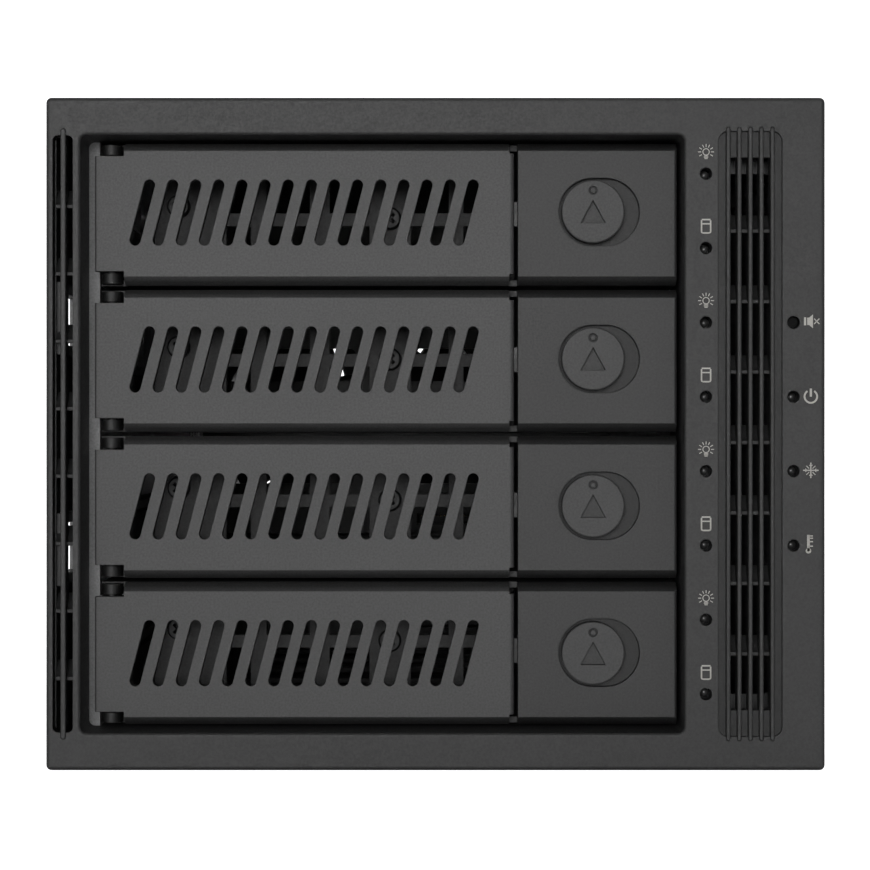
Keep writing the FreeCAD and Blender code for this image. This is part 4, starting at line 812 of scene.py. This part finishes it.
def make_board_details():
    """Chip legs, passives, solder joints and can tops on the back of the board."""
    legs = bmesh.new()
    for x, z in CHIP_PLACES:
        for index in range(CHIP_LEGS):
            middle = z + index - (CHIP_LEGS - 1) / 2
            low, high = middle - LEG_HALF, middle + LEG_HALF
            for side in (-1, 1):
                root = x + side * (CHIP_HALF - 0.1)
                depth_block(legs, root, x + side * (CHIP_HALF + 1.0), BOARD_BACK + 0.02, BOARD_BACK + 0.22,
                            low, high, 0.03)
                depth_block(legs, root, x + side * (CHIP_HALF + 0.25), BOARD_BACK + 0.1, BOARD_BACK + 0.8,
                            low, high, 0.03)
    for x, z in PASSIVE_PLACES:
        for side in (-1, 1):
            depth_block(legs, x + side * 0.62, x + side * 1.02, BOARD_BACK - 0.02, BOARD_BACK + 0.56,
                        z - 0.62, z + 0.62, 0.06)
    for tray in range(TRAY_COUNT):
        for first, count in CONTACT_ROWS:
            for index in range(count):
                z = tray_z(tray) - SOCKET_DROP + (index % 2) * JOINT_STAGGER - JOINT_STAGGER / 2
                joint = at(first + index * CONTACT_PITCH, BOARD_BACK, z)
                lathe(legs, joint, (0, 1, 0), JOINT_PROFILE, 10)
    piece_from(legs, "board_solder", materials["pin_steel"], "cage")

    bodies = bmesh.new()
    for x, z in PASSIVE_PLACES:
        depth_block(bodies, x - 0.66, x + 0.66, BOARD_BACK - 0.02, BOARD_BACK + 0.5, z - 0.58, z + 0.58, 0.05)
    piece_from(bodies, "board_passives", ceramic, "cage")

    tops = bmesh.new()
    for x, z in CAPACITOR_PLACES:
        lathe(tops, at(x, CAPACITOR_TOP, z), (0, 1, 0), CAPACITOR_PROFILE, 28)
        for angle in (0, 90):
            across = SCORE_REACH * math.cos(math.radians(angle))
            rise = SCORE_REACH * math.sin(math.radians(angle))
            score = bar((x - across, z - rise), (x + across, z + rise), SCORE_WIDTH)
            plate(tops, score, face_y + CAPACITOR_TOP + 0.02, face_y + CAPACITOR_TOP + 0.075)
    piece_from(tops, "capacitor_tops", materials["screw_steel"], "cage")

    lines = bmesh.new()
    for x, z in CHIP_PLACES:
        frame_lines(lines, x - 6.2, x + 6.2, z - 5.6, z + 5.6)
    for tray in range(TRAY_COUNT):
        frame_lines(lines, 30.2, 48.3, tray_z(tray) - 5.1, tray_z(tray) + 5.1)
    for sign in (-1, 1):
        frame_lines(lines, 52.2, 63.2, stack_z + sign * POWER_RISE - 11.8, stack_z + sign * POWER_RISE + 11.8)
    frame_lines(lines, 18.2, 29.8, 22.2, 29.8)
    piece_from(lines, "board_outlines", board_ink, "cage")


PASSIVE_PLACES = [(50.3, z) for z in (30.0, 34.0, 50.5, 63.5, 76.5, 93.0, 97.0)]
PASSIVE_PLACES += [(x, 63.5 + side * 6.6) for x in (55.0, 59.0, 63.0) for side in (-1, 1)]
PASSIVE_PLACES += [(24.0 + shift, z) for z in (87.5, 54.5) for shift in (-5.0, 0.0, 5.0)]
PASSIVE_PLACES += [(34.0 + shift, z) for shift in (0.0, 5.0, 10.0) for z in (35.0, 91.5)]


def frame_lines(shape, x0, x1, z0, z1):
    """Thin printed rectangle on the back of the board."""
    line = 0.2
    corners = [(x0, z0), (x1, z0), (x1, z1), (x0, z1)]
    for start, end in zip(corners, corners[1:] + corners[:1]):
        plate(shape, bar(start, end, line), face_y + BOARD_BACK - 0.01, face_y + BOARD_BACK + 0.03)


WELD_DEPTH = 184.4
WELD_PROFILE = [(1.5, -0.02), (1.35, 0.1), (1.05, 0.12), (0.8, 0.03), (0, 0.0)]
WELD_RISE = 3.2


def make_welds():
    """Shallow spot welds outside the side walls, where the board's tabs join them."""
    shape = bmesh.new()
    for side in (-1, 1):
        for rise in (-BOARD_SCREW_RISE, 0.0, BOARD_SCREW_RISE):
            for sign in (-1, 1):
                place = at(side * CAGE_HALF, WELD_DEPTH, stack_z + rise + sign * WELD_RISE)
                lathe(shape, place, (side, 0, 0), WELD_PROFILE, 24)
    piece_from(shape, "spot_welds", materials["cage_paint"], "cage")


def make_hub_label():
    """Blank foil disc on the fan's base."""
    shape = bmesh.new()
    profile = [(0, 0.06), (14.6, 0.06), (14.9, 0.02), (14.9, -0.02), (0, -0.02)]
    lathe(shape, at(FAN_X, FAN_BACK, stack_z), (0, 1, 0), profile, 64)
    piece_from(shape, "fan_hub_foil", foil, "cage")


SPRING_WIRE = 0.4
SPRING_TURNS = 6
SPRING_END_PITCH = 0.42
SPRING_STEPS = 24
SPRING_SIDES = 8


def make_latch_springs():
    """Coil springs with closed ends, from slider to wall."""
    for number in range(1, TRAY_COUNT + 1):
        node = "latch_spring_%d" % number
        low, high = [Vector(corner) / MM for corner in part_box(node)]
        middle = (low + high) / 2
        radius = (high.z - low.z - SPRING_WIRE) / 2
        start = low.x + SPRING_WIRE / 2
        end = high.x - SPRING_WIRE / 2
        pitch = (end - start - 2 * SPRING_END_PITCH) / SPRING_TURNS
        shape = bmesh.new()
        rings = []
        for step in range((SPRING_TURNS + 2) * SPRING_STEPS + 1):
            turns = step / SPRING_STEPS
            x = start + SPRING_END_PITCH * min(turns, 1) + pitch * min(max(turns - 1, 0), SPRING_TURNS)
            x += SPRING_END_PITCH * max(turns - 1 - SPRING_TURNS, 0)
            outward = Vector((0, math.cos(math.tau * turns), math.sin(math.tau * turns)))
            centre = Vector((x, middle.y, middle.z)) + outward * radius
            ring = []
            for side in range(SPRING_SIDES):
                angle = math.tau * side / SPRING_SIDES
                offset = outward * math.cos(angle) + Vector((math.sin(angle), 0, 0))
                ring.append(shape.verts.new(centre + offset * (SPRING_WIRE / 2)))
            rings.append(ring)
        bridge(shape, rings)
        piece = piece_from(shape, "latch_coil_%d" % number, materials["spring_steel"], None)
        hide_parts(node)
        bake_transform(piece)


# Blades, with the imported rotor's sizes: (radius, pitch in degrees, half chord) at root and tip
BLADE_COUNT = 7
BLADE_FIRST_TURN = -28.0
BLADE_MIDDLE = 206.5
BLADE_THICKNESS = 1.5
BLADE_ROOT = (15.5, 42.0, 8.25)
BLADE_TIP = (38.4, 23.0, 16.75)
NOSE_THICKNESS = 0.5
NOSE_INNER = 16.7
NOSE_OUTER = 37.0
NOSE_TURN = 4.0
NOSE_STEPS = 14


def blade_point(share, side, reach, rise):
    """Point on a blade's edge at a share of its length, moved out along the chord and square to it."""
    points = []
    for radius, pitch, half in (BLADE_ROOT, BLADE_TIP):
        along = Vector((0, math.sin(math.radians(pitch)), math.cos(math.radians(pitch))))
        across = Vector((0, along.z, -along.y))
        points.append(Vector((radius, 0, 0)) + along * side * (half + reach) + across * rise)
    return points[0].lerp(points[1], share)


def blade_point_at(radius, side, reach, rise):
    """The same point where it lies at a radius from the axis; reach is a share of that radius."""
    low, high = -0.5, 1.2
    for _ in range(40):
        share = (low + high) / 2
        point = blade_point(share, side, reach * radius, rise)
        low, high = (share, high) if math.hypot(point.x, point.z) < radius else (low, share)
    return point


def make_blade_noses():
    """Tapered noses on the leading and trailing edges of the blades."""
    shape = bmesh.new()
    reach = math.tan(math.radians(NOSE_TURN))
    outline = [(0, BLADE_THICKNESS / 2), (reach * 0.6, BLADE_THICKNESS * 0.4), (reach, NOSE_THICKNESS / 2),
               (reach, -NOSE_THICKNESS / 2), (reach * 0.6, -BLADE_THICKNESS * 0.4), (0, -BLADE_THICKNESS / 2)]
    for blade in range(BLADE_COUNT):
        turn = Matrix.Rotation(math.radians(BLADE_FIRST_TURN + 360 / BLADE_COUNT * blade), 3, "Y")
        middle = Vector(at(FAN_X, BLADE_MIDDLE, stack_z))
        for side in (-1, 1):
            rings = []
            for step in range(NOSE_STEPS + 1):
                radius = NOSE_INNER + (NOSE_OUTER - NOSE_INNER) * step / NOSE_STEPS
                points = [middle + turn @ blade_point_at(radius, side, *corner) for corner in outline]
                rings.append([shape.verts.new(point) for point in points])
            bridge(shape, rings)
    piece_from(shape, "fan_blade_noses", materials["fan_plastic"], "fan")


# Signs on the bezel, each drawn about (0, 0) in millimetres
BULB_RADIUS = 0.52
BULB_LINE = 0.16
RAY_START = 0.92
RAY_END = 1.5
RAY_ANGLES = [90, 63, 117, 32, 148, 0, 180, -32, 212]


def bulb_sign():
    """Lamp with rays and a ribbed cap."""
    outlines = []
    for angle in RAY_ANGLES:
        turn = Vector((math.cos(math.radians(angle)), math.sin(math.radians(angle))))
        outlines.append(bar(turn * RAY_START, turn * RAY_END, BULB_LINE))
    for drop, half in ((-0.78, 0.4), (-1.02, 0.4), (-1.26, 0.3)):
        outlines.append(bar((-half, drop), (half, drop), BULB_LINE))
    return outlines, [((0, 0), BULB_RADIUS, BULB_LINE, 0, 360)]


def drive_sign():
    """Drive with a label field and a slot."""
    half, top, low, line, chamfer = 1.0, 1.4, -1.4, 0.28, 0.36
    outlines = [
        bar((-half + line / 2, low + chamfer), (-half + line / 2, top - line), line),
        bar((half - line / 2, low + chamfer), (half - line / 2, top - line), line),
        bar((-half + chamfer, low + line / 2), (half - chamfer, low + line / 2), line),
        bar((-half + chamfer / 2, top - line / 2), (half - chamfer / 2, top - line / 2), line),
        bar((-half + line / 3, low + chamfer), (-half + chamfer, low + line / 2), line),
        bar((half - line / 3, low + chamfer), (half - chamfer, low + line / 2), line),
        bar((-half + line, 0.46), (half - line, 0.46), line * 0.9),
    ]
    return outlines, []


SPEAKER_LINE = 0.2


def speaker_sign():
    """Loudspeaker with a cross beside it."""
    magnet = [(-1.5, -0.75), (-1.08, -0.75), (-1.08, 0.75), (-1.5, 0.75)]
    cone = [(-0.88, -0.7), (-0.5, -0.7), (0.2, -1.3), (0.2, 1.3), (-0.5, 0.7), (-0.88, 0.7)]
    cross = [bar((0.42, -0.5), (1.4, 0.5), SPEAKER_LINE), bar((0.42, 0.5), (1.4, -0.5), SPEAKER_LINE)]
    return [magnet, cone] + cross, []


def power_sign():
    return [bar((0, -0.02), (0, 1.5), 0.42)], [((0, 0), 1.02, 0.34, 122, 418)]


def fan_sign():
    """Eight-pointed air symbol: four arms with arrow tips and four short ones between."""
    outlines = []
    for quarter in range(4):
        angle = math.radians(90 * quarter)
        along = Vector((math.cos(angle), math.sin(angle)))
        side = Vector((-along.y, along.x))
        outlines.append(bar((0, 0), along * 1.45, 0.24))
        for sign in (-1, 1):
            outlines.append(bar(along * 1.02 + side * 0.3 * sign, along * 0.72, 0.16))
        slant = (along + side).normalized()
        outlines.append(bar(slant * 0.45, slant * 1.2, 0.16))
    return outlines, []


def thermometer_sign():
    """Stem with four marks and a filled bulb."""
    stem = -0.45
    marks = [bar((stem, rise), (0.4, rise), 0.22) for rise in (1.7, 1.28, 0.62, -0.23)]
    return [bar((stem, -1.2), (stem, 1.9), 0.5)] + marks, [((stem, -1.1), 0.01, 0.5, 0, 360)]


def print_sign(name, sign, x, z):
    """Prints one sign on the bezel's face, centred on (x, z)."""
    shape = bmesh.new()
    y0 = face_y - PRINT_THICKNESS + PRINT_SINK
    y1 = face_y + PRINT_SINK
    outlines, bands = sign()
    for outline in outlines:
        plate(shape, [(x + a, z + b) for a, b in outline], y0, y1)
    for centre, radius, width, start, end in bands:
        arc_band(shape, (x + centre[0], z + centre[1]), max(radius, 0.01), width, start, end, y0, y1)
    piece_from(shape, name, ink, "cage")


def print_signs():
    for tray in range(TRAY_COUNT):
        number = tray + 1
        print_sign("power_sign_%d" % number, bulb_sign, LED_X, indicator_z(2 * tray) + SIGN_RISE)
        print_sign("activity_sign_%d" % number, drive_sign, LED_X, indicator_z(2 * tray + 1) + SIGN_RISE)
    beside = STATUS_X + STATUS_SIGN_SHIFT
    print_sign("mute_sign", speaker_sign, beside + 0.2, indicator_z(STATUS_FIRST) + 0.2)
    print_sign("main_power_sign", power_sign, beside, indicator_z(STATUS_FIRST + 1) + 0.05)
    print_sign("fan_sign", fan_sign, beside, indicator_z(STATUS_FIRST + 2) + 0.15)
    print_sign("heat_sign", thermometer_sign, beside, indicator_z(STATUS_FIRST + 3) + 0.1)


make_camera()
make_studio(studio_paper("studio_paper"))
make_lights()
dress_nodes()
make_screws()
make_contacts()
make_pin_sleeves()
make_board_details()
make_welds()
make_hub_label()
make_blade_noses()
make_latch_springs()
print_signs()
